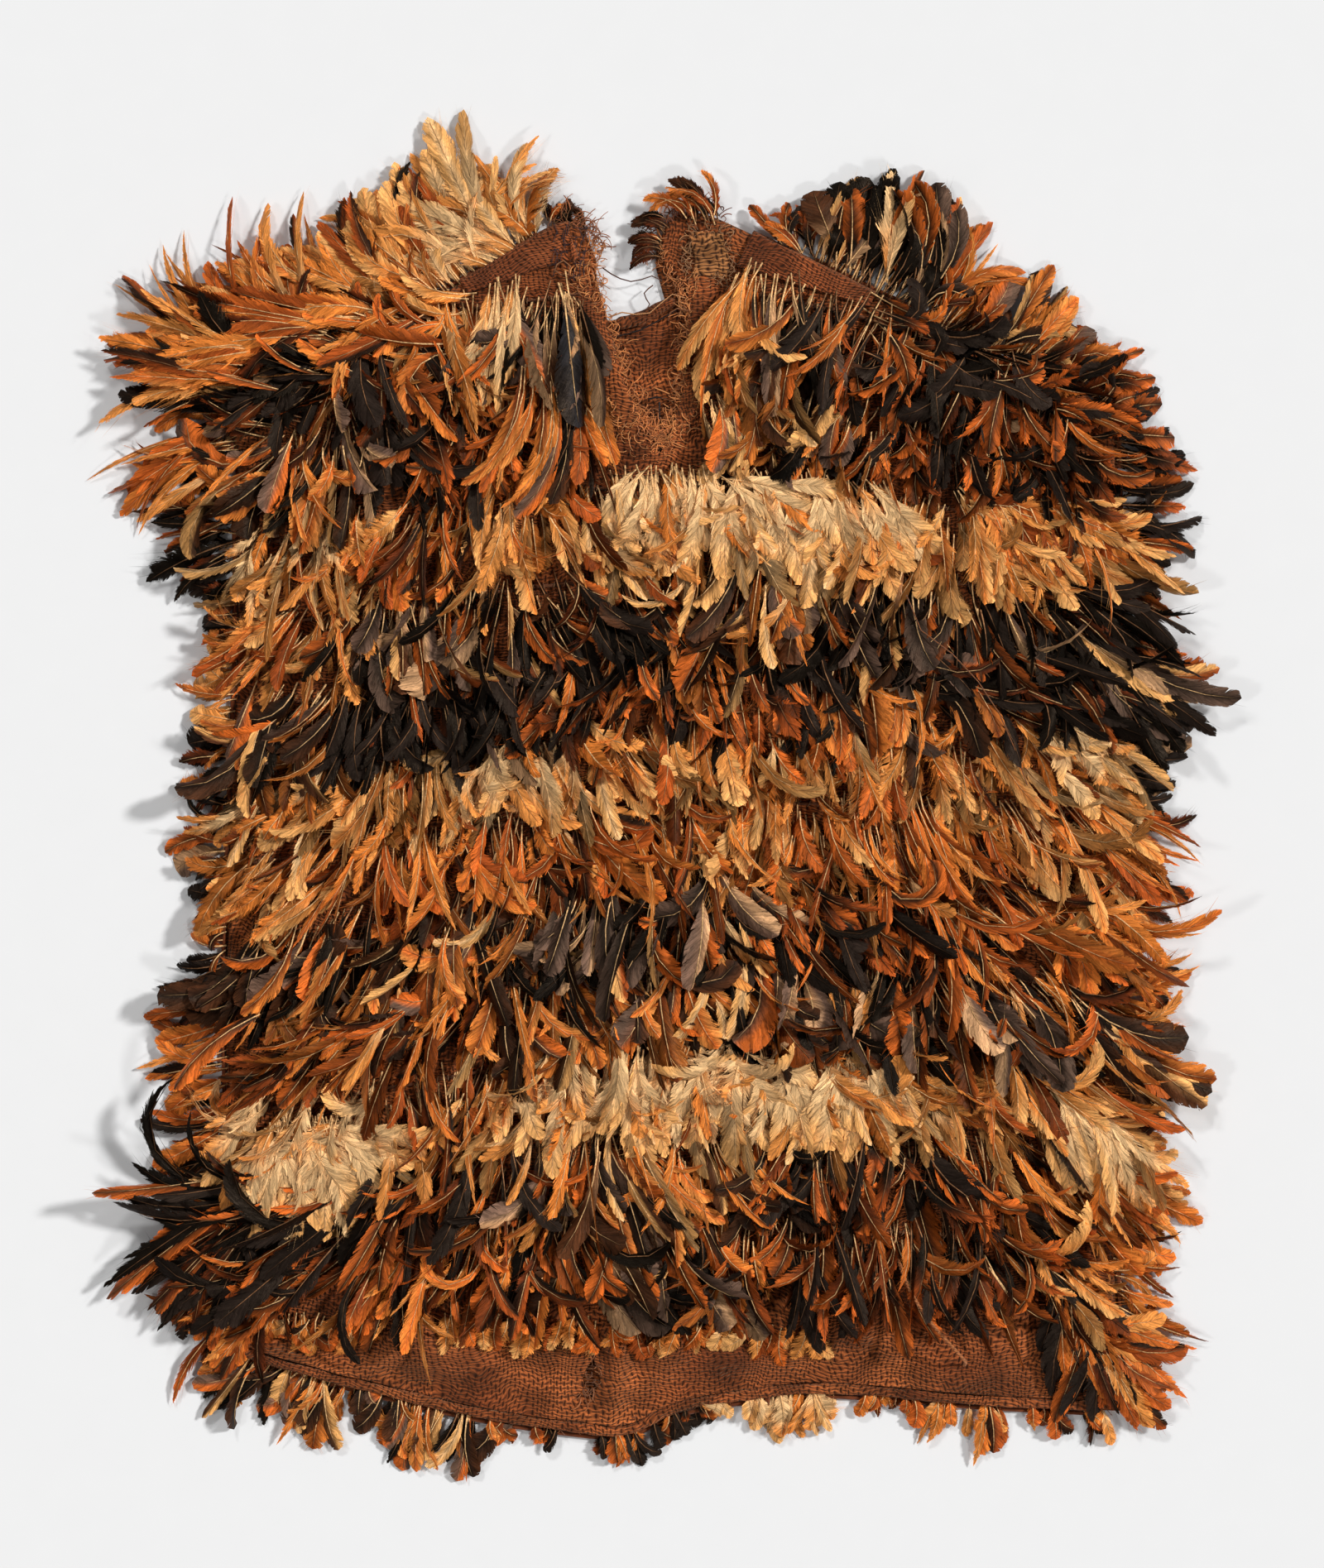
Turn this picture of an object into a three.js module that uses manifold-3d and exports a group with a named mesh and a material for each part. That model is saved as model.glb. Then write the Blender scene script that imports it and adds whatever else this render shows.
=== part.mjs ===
// A feather cape of coarse tabby cloth, laid flat on its back with the front panel uppermost.
// Millimetres. X runs to the right, Y toward the neck and Z up from the surface it lies on.
import * as THREE from 'three';
import { mergeVertices } from 'three/addons/utils/BufferGeometryUtils.js';
import Module from 'manifold-3d';

const wasm = await Module();
wasm.setup();

// Cloth
const CLOTH_WALL = 2;
const SEAM_GAP = 0.3;
const CLOTH_LEFT = -286;
const CLOTH_RIGHT = 300;
const SIDE_WAVE = 4;
const SIDE_WAVE_LENGTH = 560;
const BACK_MARGIN = 2;
const HEM_ROLL_RADIUS = 3;
const HEM_REACH = 2 * HEM_ROLL_RADIUS + 5 * SEAM_GAP;
const NAPE_ROLL_RADIUS = 2.4;
const PATCH = { wall: 1.2, left: 20, top: 376, width: 23, height: 29, slant: 2, wave: 2 };

// Feather rows: a binding cord with locks of feathers knotted on it
const CORD_HEIGHT = 3;
const CORD_DEPTH = 4;
const CORD_LIFT = 0.6;
const LOCK_FILL = 0.86;
const LOCK_THICKNESS = 4;
const LOCK_RINGS = [
  { at: 0.38, width: 1.0, thickness: 1.0 },
  { at: 0.76, width: 0.62, thickness: 0.7 },
];
const LOCK_RISE = 0.27;
const LOCK_DROOP = 0.0006;
const ROOT_HEIGHT = 1.5;
const TURN_SPREAD = 3;
const LENGTH_SPREAD = 0.09;
const FLOOR_GAP = 0.5;
const TIP_HEIGHT = 1.2;

// Loose cord
const LOOSE_CORD_RADIUS = 1.4;

const CLOTH_COLOUR = 0x6b3416;
const PATCH_COLOUR = 0x8a5a34;
const CORD_COLOUR = 0x7a4a26;
const RUST_COLOUR = 0xa85a28;
const BROWN_COLOUR = 0x5a3018;

// The bottom edge of the front panel, from left to right
const HEM_LINE = [
  { x: -286, y: -366 },
  { x: -220, y: -385 },
  { x: -132, y: -407 },
  { x: -55, y: -419 },
  { x: -22, y: -420 },
  { x: 8, y: -406 },
  { x: 50, y: -398 },
  { x: 110, y: -393 },
  { x: 220, y: -401 },
  { x: 300, y: -405 },
];

// The top edge of both panels, from the left corner over the neck to the right corner
const SHOULDER_LINE = [
  { x: -286, y: 262 },
  { x: -262, y: 291 },
  { x: -176, y: 322 },
  { x: -143, y: 336 },
  { x: -66, y: 380 },
  { x: -52, y: 376 },
  { x: -40, y: 350 },
  { x: -8, y: 350 },
  { x: 2, y: 380 },
  { x: 16, y: 389 },
  { x: 38, y: 384 },
  { x: 148, y: 330 },
  { x: 209, y: 301 },
  { x: 275, y: 274 },
  { x: 300, y: 248 },
];

// The neckline of the back panel
const NAPE_LINE = [
  { x: -44, y: 315 },
  { x: -15, y: 321 },
  { x: 2, y: 330 },
  { x: 17, y: 335 },
];

// Soft ridges of the front panel: centre, half length, half width, height and turn in degrees
const FOLDS = [
  { x: -160, y: -372, long: 80, wide: 17, high: 6, turn: -16 },
  { x: -28, y: -380, long: 34, wide: 15, high: 7, turn: 82 },
  { x: 90, y: -362, long: 85, wide: 17, high: 5, turn: 3 },
  { x: 215, y: -376, long: 60, wide: 16, high: 6, turn: -6 },
  { x: -225, y: -350, long: 40, wide: 18, high: 4, turn: 40 },
  { x: -130, y: -130, long: 170, wide: 95, high: 4, turn: 12 },
  { x: 140, y: 40, long: 160, wide: 100, high: 5, turn: -10 },
  { x: -120, y: 190, long: 120, wide: 90, high: 3, turn: 5 },
  { x: -100, y: 352, long: 70, wide: 30, high: 3, turn: 30 },
  { x: 90, y: 352, long: 75, wide: 30, high: 4, turn: -26 },
  { x: -38, y: 300, long: 52, wide: 18, high: 5, turn: -70 },
  { x: 22, y: 296, long: 60, wide: 17, high: 5, turn: 84 },
];

// Front rows: ends and middle of the binding cord, number of locks, their lengths in mm
// and how far they turn outward at each end, in degrees (minus is to the left)
const FRONT_ROWS = [
  { name: 'row_01_left', left: -256, right: -54, yLeft: 278, yMiddle: 318, yRight: 334,
    locks: 6, longLeft: 96, longMiddle: 84, longRight: 100, turnLeft: -58, turnRight: 6, colour: 0xa85a22 },
  { name: 'row_01_right', left: 44, right: 278, yLeft: 338, yMiddle: 310, yRight: 254,
    locks: 7, longLeft: 96, longMiddle: 84, longRight: 74, turnLeft: -14, turnRight: 52, colour: 0x9a4f20 },
  { name: 'row_02_left', left: -274, right: -46, yLeft: 222, yMiddle: 256, yRight: 272,
    locks: 6, longLeft: 106, longMiddle: 100, longRight: 96, turnLeft: -62, turnRight: 8, colour: 0x3a2216 },
  { name: 'row_02_right', left: 26, right: 290, yLeft: 262, yMiddle: 252, yRight: 216,
    locks: 7, longLeft: 84, longMiddle: 78, longRight: 96, turnLeft: -4, turnRight: 70, colour: 0x4a2616 },
  { name: 'row_03', left: -276, right: 290, yLeft: 166, yMiddle: 207, yRight: 178,
    locks: 14, longLeft: 92, longMiddle: 84, longRight: 92, turnLeft: -40, turnRight: 50, colour: 0xd09a55 },
  { name: 'row_04', left: -276, right: 290, yLeft: 112, yMiddle: 146, yRight: 136,
    locks: 14, longLeft: 88, longMiddle: 84, longRight: 96, turnLeft: -42, turnRight: 46, colour: 0x2c1d18 },
  { name: 'row_05', left: -276, right: 290, yLeft: 58, yMiddle: 90, yRight: 88,
    locks: 14, longLeft: 96, longMiddle: 76, longRight: 136, turnLeft: -50, turnRight: 74, colour: 0x2a1a16 },
  { name: 'row_06', left: -276, right: 290, yLeft: 2, yMiddle: 42, yRight: 38,
    locks: 14, longLeft: 74, longMiddle: 72, longRight: 86, turnLeft: -36, turnRight: 48, colour: 0xc98b48 },
  { name: 'row_07', left: -276, right: 290, yLeft: -46, yMiddle: -8, yRight: -12,
    locks: 14, longLeft: 88, longMiddle: 80, longRight: 100, turnLeft: -50, turnRight: 54, colour: 0xb5622a },
  { name: 'row_08', left: -276, right: 290, yLeft: -100, yMiddle: -60, yRight: -70,
    locks: 14, longLeft: 100, longMiddle: 82, longRight: 118, turnLeft: -58, turnRight: 68, colour: 0x5c3018 },
  { name: 'row_09', left: -276, right: 290, yLeft: -154, yMiddle: -114, yRight: -128,
    locks: 14, longLeft: 104, longMiddle: 82, longRight: 108, turnLeft: -62, turnRight: 58, colour: 0x4a2a18 },
  { name: 'row_10', left: -276, right: 290, yLeft: -212, yMiddle: -170, yRight: -186,
    locks: 14, longLeft: 88, longMiddle: 82, longRight: 96, turnLeft: -44, turnRight: 50, colour: 0xd6a465 },
  { name: 'row_11', left: -276, right: 290, yLeft: -262, yMiddle: -228, yRight: -242,
    locks: 14, longLeft: 166, longMiddle: 76, longRight: 92, turnLeft: -70, turnRight: 52, colour: 0x42261a },
  { name: 'row_12', left: -275, right: 285, yLeft: -308, yMiddle: -286, yRight: -300,
    locks: 13, longLeft: 84, longMiddle: 80, longRight: 88, turnLeft: -58, turnRight: 52, colour: 0x8a4a22 },
];

// Bands that wrap the shoulder edge: ends along X and their widths on the front
const LEFT_BAND = { from: -134, to: -62, widthFrom: 8, widthTo: 26, segments: 6 };
const RIGHT_BAND = { from: 60, to: 142, widthFrom: 24, widthTo: 8, segments: 6 };
const BAND_BULGE = 1.4;
const BAND_FOOT = 0.5;

// Rows of the back that stand out past the cloth
const LEFT_FAN_INNER = -82;
const RIGHT_FAN_INNER = 100;
const FAN_FOOT = 218;
const EDGE_CLEARANCE = CORD_DEPTH / 2 + 2 * SEAM_GAP;
const LEFT_FAN_CLEARANCE = EDGE_CLEARANCE + 1.6;
const RIGHT_FAN_CLEARANCE = EDGE_CLEARANCE + 3;
const CORNER_GAP = 6;

// Outer rows: lengths and turns in degrees run from the cord's start to its end, and arch is
// how high the locks stand between cord and tip
const LEFT_FAN = {
  locks: 12,
  lengths: [74, 93, 72, 70, 92, 96, 70],
  turns: [-8, 0, 14, 30, 14, 10, 22],
  arch: [10, 9, 8, 5],
  seed: 501,
};
const RIGHT_FAN = {
  locks: 11,
  lengths: [56, 54, 60, 62, 64, 72, 60],
  turns: [-18, -14, -16, -24, -16, -4, 8],
  arch: [5, 8, 9, 10],
  seed: 523,
};
const LEFT_SIDE = {
  locks: 17,
  lengths: [52, 44, 46, 50, 46, 54, 58],
  turns: [10, 14, 18, 16, 20, 22, 26],
  arch: [4, 5, 4],
  seed: 541,
};
const RIGHT_SIDE = {
  locks: 17,
  lengths: [56, 52, 54, 48, 56, 50, 46],
  turns: [-24, -22, -18, -20, -16, -14, -8],
  arch: [4, 5, 4],
  seed: 557,
};
const BACK_HEM = {
  locks: 17,
  lengths: [36, 38, 32, 16, 12, 24, 22, 20, 26, 34],
  turns: [-24, -8, 2, 4, 0, -3, 3, 6, 14, 30],
  arch: [3, 2, 3],
  seed: 577,
};
const SIDE_ROW_TOP = 204;
const SIDE_ROW_BOTTOM = -352;

// Neck cuts, as corners in order
const FRONT_NECK = [
  [-44, 430], [-44, 346], [-37, 318], [-25, 275], [-9, 240], [-1.5, 226],
  [5, 240], [14, 268], [17, 300], [17, 338], [-2, 358], [-3, 430],
];
const BACK_NECK = [
  [-4, 352], [2, 330], [-15, 321], [-44, 315], [-44, 360],
];
const RIP = { x: -47, y: -390, halfHeight: 13, bulge: 12 };

// The route of the loose cord's middle line over the last row and down onto the bare hem
const LOOSE_CORD_ROUTE = [
  [155.8, -300, 7.2],
  [156.4, -304, 8.4],
  [157.4, -309, 10.6],
  [159, -315, 14.6],
  [161.5, -322, 18.4],
  [165, -330, 21.4],
  [170, -338.5, 24.4],
  [176, -347, 27],
  [182.5, -355, 28.6],
  [189, -362, 30.6],
  [194.5, -368, 31.6],
  [199.2, -373.4, 29.2],
  [201.6, -377, 21],
  [201.4, -380.5, 13.6],
  [199.8, -386.5, 11.2],
  [196.8, -393, 9.6],
  [193, -399, 8.8],
];

// The height of a table's curve at x, smooth through its points
function curveAt(table, x) {
  const last = table.length - 1;
  let i = 0;
  while (i < last - 1 && x > table[i + 1].x) {
    i += 1;
  }
  const slope = (k) => {
    const before = table[Math.max(k - 1, 0)];
    const after = table[Math.min(k + 1, last)];
    return (after.y - before.y) / (after.x - before.x);
  };
  const a = table[i];
  const b = table[i + 1];
  const span = b.x - a.x;
  const t = THREE.MathUtils.clamp((x - a.x) / span, 0, 1);
  const s = 1 - t;
  return (
    a.y * (1 + 2 * t) * s * s + slope(i) * span * t * s * s +
    b.y * t * t * (3 - 2 * t) - slope(i + 1) * span * t * t * s
  );
}

// How far the front panel stands off the back panel at a place
function foldHeight(x, y) {
  let height = 0;
  for (const fold of FOLDS) {
    const turn = THREE.MathUtils.degToRad(fold.turn);
    const dx = x - fold.x;
    const dy = y - fold.y;
    const along = (dx * Math.cos(turn) + dy * Math.sin(turn)) / fold.long;
    const across = (dy * Math.cos(turn) - dx * Math.sin(turn)) / fold.wide;
    height += fold.high * Math.exp(-along * along - across * across);
  }
  return height;
}

function frontLow(x, y) {
  return CLOTH_WALL + SEAM_GAP + foldHeight(x, y);
}

function frontTop(x, y) {
  return frontLow(x, y) + CLOTH_WALL;
}

function sideWave(y) {
  return SIDE_WAVE * Math.sin((2 * Math.PI * y) / SIDE_WAVE_LENGTH);
}

// A seeded source of numbers from -1 to 1
function spread(seed) {
  let state = seed;
  return () => {
    state = (state * 1103515245 + 12345) % 2147483648;
    return state / 1073741824 - 1;
  };
}

function geometryOf(points, faces) {
  const geometry = new THREE.BufferGeometry();
  geometry.setAttribute('position', new THREE.Float32BufferAttribute(points.flat(), 3));
  geometry.setIndex(faces);
  return geometry;
}

function addQuad(faces, a, b, c, d) {
  faces.push(a, b, c, a, c, d);
}

// A closed wall over a grid. surface(i, j) gives { x, y, low, high }.
function wallOverGrid(columns, rows, surface) {
  const points = [];
  const faces = [];
  const across = columns + 1;
  const layer = across * (rows + 1);
  for (const side of ['high', 'low']) {
    for (let j = 0; j <= rows; j += 1) {
      for (let i = 0; i <= columns; i += 1) {
        const p = surface(i, j);
        points.push([p.x, p.y, p[side]]);
      }
    }
  }
  const at = (i, j) => j * across + i;
  for (let j = 0; j < rows; j += 1) {
    for (let i = 0; i < columns; i += 1) {
      addQuad(faces, at(i, j), at(i + 1, j), at(i + 1, j + 1), at(i, j + 1));
      addQuad(faces, layer + at(i, j), layer + at(i, j + 1), layer + at(i + 1, j + 1), layer + at(i + 1, j));
    }
  }
  for (let i = 0; i < columns; i += 1) {
    addQuad(faces, layer + at(i, 0), layer + at(i + 1, 0), at(i + 1, 0), at(i, 0));
    addQuad(faces, layer + at(i + 1, rows), layer + at(i, rows), at(i, rows), at(i + 1, rows));
  }
  for (let j = 0; j < rows; j += 1) {
    addQuad(faces, layer + at(0, j + 1), layer + at(0, j), at(0, j), at(0, j + 1));
    addQuad(faces, layer + at(columns, j), layer + at(columns, j + 1), at(columns, j + 1), at(columns, j));
  }
  return geometryOf(points, faces);
}

// Even steps inside each of several stretches, for a grid that is finer where the form is
function steps(stretches) {
  const stops = [stretches[0].from];
  for (const stretch of stretches) {
    for (let k = 1; k <= stretch.steps; k += 1) {
      stops.push(stretch.from + ((stretch.to - stretch.from) * k) / stretch.steps);
    }
  }
  return stops;
}

function manifoldOf(geometry) {
  const bare = geometry.clone();
  bare.deleteAttribute('normal');
  bare.deleteAttribute('uv');
  const merged = mergeVertices(bare, 1e-4);
  return new wasm.Manifold(new wasm.Mesh({
    numProp: 3,
    vertProperties: new Float32Array(merged.attributes.position.array),
    triVerts: new Uint32Array(merged.index.array),
  }));
}

function cutAway(geometry, cutters) {
  let solid = manifoldOf(geometry);
  for (const cutter of cutters) {
    solid = solid.subtract(manifoldOf(cutter));
  }
  const mesh = solid.getMesh();
  const result = new THREE.BufferGeometry();
  result.setAttribute('position', new THREE.Float32BufferAttribute(mesh.vertProperties, 3));
  result.setIndex(Array.from(mesh.triVerts));
  return result;
}

// A straight cutter that runs through every layer of cloth
function prism(shape) {
  const reach = 30;
  const cutter = new THREE.ExtrudeGeometry(shape, { depth: 2 * reach, bevelEnabled: false, curveSegments: 5 });
  cutter.translate(0, 0, -reach);
  return cutter;
}

function ripShape() {
  const shape = new THREE.Shape();
  shape.moveTo(RIP.x, RIP.y - RIP.halfHeight);
  shape.quadraticCurveTo(RIP.x + RIP.bulge, RIP.y, RIP.x + 1, RIP.y + RIP.halfHeight);
  shape.quadraticCurveTo(RIP.x - RIP.bulge, RIP.y, RIP.x, RIP.y - RIP.halfHeight);
  return shape;
}

function frontPanel() {
  const xStops = steps([
    { from: CLOTH_LEFT, to: -60, steps: 9 },
    { from: -60, to: 44, steps: 8 },
    { from: 44, to: CLOTH_RIGHT, steps: 10 },
  ]);
  const vStops = steps([
    { from: 0, to: 0.1, steps: 6 },
    { from: 0.1, to: 0.76, steps: 9 },
    { from: 0.76, to: 1, steps: 9 },
  ]);
  const surface = (i, j) => {
    const x = xStops[i];
    const y = THREE.MathUtils.lerp(curveAt(HEM_LINE, x), curveAt(SHOULDER_LINE, x), vStops[j]);
    const edge = Math.abs(2 * (x - CLOTH_LEFT) / (CLOTH_RIGHT - CLOTH_LEFT) - 1);
    const placed = x + sideWave(y) * edge ** 4;
    return { x: placed, y, low: frontLow(placed, y), high: frontTop(placed, y) };
  };
  const wall = wallOverGrid(xStops.length - 1, vStops.length - 1, surface);
  const neck = new THREE.Shape(FRONT_NECK.map(([x, y]) => new THREE.Vector2(x, y)));
  return cutAway(wall, [prism(neck), prism(ripShape())]);
}

// The back panel lies under the front, a little wider, and reaches under the rolled hem
function backPanel() {
  const outline = [];
  const left = CLOTH_LEFT - BACK_MARGIN;
  const right = CLOTH_RIGHT + BACK_MARGIN;
  const hemStops = steps([{ from: left, to: right, steps: 26 }]);
  for (const x of hemStops) {
    const y = curveAt(HEM_LINE, x) - HEM_REACH;
    const edge = x === left || x === right ? 1 : 0;
    outline.push(new THREE.Vector2(x + edge * sideWave(y), y));
  }
  const sideStops = steps([{ from: SIDE_ROW_BOTTOM, to: SIDE_ROW_TOP, steps: 12 }]);
  for (const y of sideStops) {
    outline.push(new THREE.Vector2(right + sideWave(y), y));
  }
  for (const x of steps([{ from: CLOTH_RIGHT, to: 0, steps: 16 }])) {
    outline.push(new THREE.Vector2(x, curveAt(SHOULDER_LINE, x)));
  }
  outline.push(...BACK_NECK.map(([x, y]) => new THREE.Vector2(x, y)));
  for (const x of steps([{ from: -52, to: CLOTH_LEFT, steps: 14 }])) {
    outline.push(new THREE.Vector2(x, curveAt(SHOULDER_LINE, x)));
  }
  for (const y of [...sideStops].reverse()) {
    outline.push(new THREE.Vector2(left + sideWave(y), y));
  }
  return new THREE.ExtrudeGeometry(new THREE.Shape(outline), { depth: CLOTH_WALL, bevelEnabled: false });
}

// A round tube along a list of points
function tube(points, radius, sides, segments) {
  const section = new THREE.Shape();
  for (let k = 0; k < sides; k += 1) {
    const angle = (2 * Math.PI * k) / sides;
    const corner = [radius * Math.cos(angle), radius * Math.sin(angle)];
    if (k === 0) {
      section.moveTo(...corner);
    } else {
      section.lineTo(...corner);
    }
  }
  section.closePath();
  const path = new THREE.CatmullRomCurve3(points, false, 'centripetal');
  return new THREE.ExtrudeGeometry(section, { steps: segments, extrudePath: path, bevelEnabled: false });
}

function frontHem() {
  const points = [];
  for (const x of steps([{ from: CLOTH_LEFT + 4, to: CLOTH_RIGHT - 4, steps: 30 }])) {
    const y = curveAt(HEM_LINE, x);
    const rise = frontLow(x, y) + HEM_ROLL_RADIUS + SEAM_GAP;
    points.push(new THREE.Vector3(x, y - HEM_ROLL_RADIUS - 3 * SEAM_GAP, rise));
  }
  return tube(points, HEM_ROLL_RADIUS, 6, 42);
}

function napeRoll() {
  const points = [];
  for (const x of steps([{ from: -31, to: 9, steps: 5 }])) {
    const y = curveAt(NAPE_LINE, x) - NAPE_ROLL_RADIUS - 0.8;
    points.push(new THREE.Vector3(x, y, CLOTH_WALL + SEAM_GAP + NAPE_ROLL_RADIUS));
  }
  return tube(points, NAPE_ROLL_RADIUS, 8, 10);
}

// The direction away from the cloth at a place on the shoulder edge
function awayFromShoulder(x) {
  const step = 0.5;
  const slope = (curveAt(SHOULDER_LINE, x + step) - curveAt(SHOULDER_LINE, x - step)) / (2 * step);
  return new THREE.Vector2(-slope, 1).normalize();
}

// A band that lies on the front along the shoulder edge and turns over it down to the surface.
// The section's points are [distance outward from the edge, height].
function shoulderBand({ from, to, widthFrom, widthTo, segments }) {
  const points = [];
  const faces = [];
  const sectionSize = 8;
  for (let k = 0; k <= segments; k += 1) {
    const x = THREE.MathUtils.lerp(from, to, k / segments);
    const y = curveAt(SHOULDER_LINE, x);
    const outward = awayFromShoulder(x);
    const width = THREE.MathUtils.lerp(widthFrom, widthTo, k / segments);
    const inner = frontTop(x - outward.x * width, y - outward.y * width) + 2 * SEAM_GAP;
    const edge = frontTop(x, y) + 2 * SEAM_GAP;
    const section = [
      [-width, inner],
      [2 * SEAM_GAP, edge],
      [SEAM_GAP + BAND_BULGE, edge / 2],
      [SEAM_GAP + BAND_FOOT, 0],
      [SEAM_GAP + BAND_FOOT + CLOTH_WALL, 0],
      [SEAM_GAP + BAND_BULGE + CLOTH_WALL, edge / 2],
      [4 * SEAM_GAP, edge + CLOTH_WALL],
      [-width, inner + CLOTH_WALL],
    ];
    for (const [out, height] of section) {
      points.push([x + outward.x * out, y + outward.y * out, height]);
    }
  }
  for (let k = 0; k < segments; k += 1) {
    for (let c = 0; c < sectionSize; c += 1) {
      const here = k * sectionSize;
      const next = (c + 1) % sectionSize;
      addQuad(faces, here + c, here + next, here + sectionSize + next, here + sectionSize + c);
    }
  }
  const end = segments * sectionSize;
  for (const [a, b, c, d] of [[0, 1, 6, 7], [1, 2, 5, 6], [2, 3, 4, 5]]) {
    addQuad(faces, d, c, b, a);
    addQuad(faces, end + a, end + b, end + c, end + d);
  }
  return geometryOf(points, faces);
}

function neckPatch() {
  const columns = 3;
  const rows = 4;
  const surface = (i, j) => {
    const down = j / rows;
    const across = i / columns;
    const x = PATCH.left + across * PATCH.width + PATCH.wave * Math.sin(5 * down);
    const y = PATCH.top - (1 - down) * PATCH.height - across * PATCH.slant;
    const low = frontTop(x, y) + 2 * SEAM_GAP;
    return { x, y, low, high: low + PATCH.wall };
  };
  return wallOverGrid(columns, rows, surface);
}

// The height that keeps a cord above what it lies on, also halfway to its next section
function clearOf(base, t, place) {
  let height = 0;
  for (const step of [-0.03, -0.015, 0, 0.015, 0.03]) {
    const near = place(t + step);
    for (const side of [-CORD_DEPTH / 2, 0, CORD_DEPTH / 2]) {
      height = Math.max(height, base(near.x, near.y + side));
    }
  }
  return height;
}

// A binding cord with its locks. place(t) is a point of the cord, base(x, y) what it lies on,
// shape(t) gives each lock's length and turn, and lift(s, length) its height over the base.
function featherRow({ place, locks, base, shape, lift, tip, seed }) {
  const points = [];
  const faces = [];
  const random = spread(seed);
  const stations = [];
  for (let k = 0; k < locks; k += 1) {
    stations.push((k + (1 - LOCK_FILL) / 2) / locks, (k + (1 + LOCK_FILL) / 2) / locks);
  }
  const frames = stations.map((t) => {
    const step = 0.004;
    const here = place(t);
    const along = place(t + step).sub(place(t - step)).normalize();
    return { t, here, out: new THREE.Vector2(along.y, -along.x) };
  });
  for (const { t, here, out } of frames) {
    const front = here.clone().addScaledVector(out, CORD_DEPTH / 2);
    const rear = here.clone().addScaledVector(out, -CORD_DEPTH / 2);
    const low = clearOf(base, t, place);
    points.push([front.x, front.y, low]);
    points.push([front.x, front.y, low + CORD_HEIGHT]);
    points.push([rear.x, rear.y, low + CORD_HEIGHT]);
    points.push([rear.x, rear.y, low]);
  }
  const last = (stations.length - 1) * 4;
  addQuad(faces, 0, 1, 2, 3);
  addQuad(faces, last + 3, last + 2, last + 1, last);
  for (let j = 0; j < stations.length - 1; j += 1) {
    const a = 4 * j;
    const b = a + 4;
    addQuad(faces, a + 1, b + 1, b + 2, a + 2);
    addQuad(faces, a + 2, b + 2, b + 3, a + 3);
    addQuad(faces, a + 3, b + 3, b, a);
    if (j % 2 === 1) {
      addQuad(faces, a, b, b + 1, a + 1);
    }
  }
  for (let k = 0; k < locks; k += 1) {
    const first = frames[2 * k];
    const second = frames[2 * k + 1];
    const width = first.here.distanceTo(second.here);
    const out = first.out.clone().add(second.out).normalize();
    const root = first.here.clone().add(second.here).multiplyScalar(0.5).addScaledVector(out, CORD_DEPTH / 2);
    const wanted = shape((k + 0.5) / locks);
    const length = wanted.length * (1 + LENGTH_SPREAD * random());
    const turn = THREE.MathUtils.degToRad(wanted.turn + TURN_SPREAD * random());
    const bend = THREE.MathUtils.degToRad(6 * random());
    const centreAt = (q) => {
      const swing = turn + bend * q;
      const heading = out.clone().rotateAround(new THREE.Vector2(), swing);
      return { heading, point: root.clone().addScaledVector(heading, q * length) };
    };
    let ring = [8 * k, 8 * k + 4, 8 * k + 5, 8 * k + 1];
    for (const section of LOCK_RINGS) {
      const { heading, point } = centreAt(section.at);
      const side = new THREE.Vector2(-heading.y, heading.x).multiplyScalar((width * section.width) / 2);
      const half = (LOCK_THICKNESS * section.thickness) / 2;
      const height = base(point.x, point.y) + lift(section.at * length, length, wanted);
      const start = points.length;
      points.push([point.x - side.x, point.y - side.y, height - half]);
      points.push([point.x + side.x, point.y + side.y, height - half]);
      points.push([point.x + side.x, point.y + side.y, height + half]);
      points.push([point.x - side.x, point.y - side.y, height + half]);
      const next = [start, start + 1, start + 2, start + 3];
      for (let c = 0; c < 4; c += 1) {
        const d = (c + 1) % 4;
        addQuad(faces, ring[c], ring[d], next[d], next[c]);
      }
      ring = next;
    }
    const end = centreAt(1).point;
    points.push([end.x, end.y, tip(end, length, wanted)]);
    for (let c = 0; c < 4; c += 1) {
      faces.push(ring[c], ring[(c + 1) % 4], points.length - 1);
    }
  }
  return geometryOf(points, faces);
}

// Rows that lie on the front panel rise over the row below like shingles
function frontRow(row, seed) {
  const middle = (row.left + row.right) / 2;
  const place = (t) => {
    const x = THREE.MathUtils.lerp(row.left, row.right, t);
    const table = [
      { x: row.left, y: row.yLeft },
      { x: middle, y: row.yMiddle },
      { x: row.right, y: row.yRight },
    ];
    return new THREE.Vector2(x, curveAt(table, x));
  };
  const shape = (t) => {
    const moreLeft = (row.longLeft - row.longMiddle) * (1 - t) ** 3;
    const moreRight = (row.longRight - row.longMiddle) * t ** 3;
    return {
      length: row.longMiddle + moreLeft + moreRight,
      turn: row.turnLeft * (1 - t) ** 4 + row.turnRight * t ** 4,
    };
  };
  const base = (x, y) => frontTop(x, y) + CORD_LIFT;
  const lift = (s) => ROOT_HEIGHT + LOCK_RISE * s - LOCK_DROOP * s * s;
  const tip = (end, length) => base(end.x, end.y) + lift(length);
  return featherRow({ place, locks: row.locks, base, shape, lift, tip, seed });
}

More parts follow.
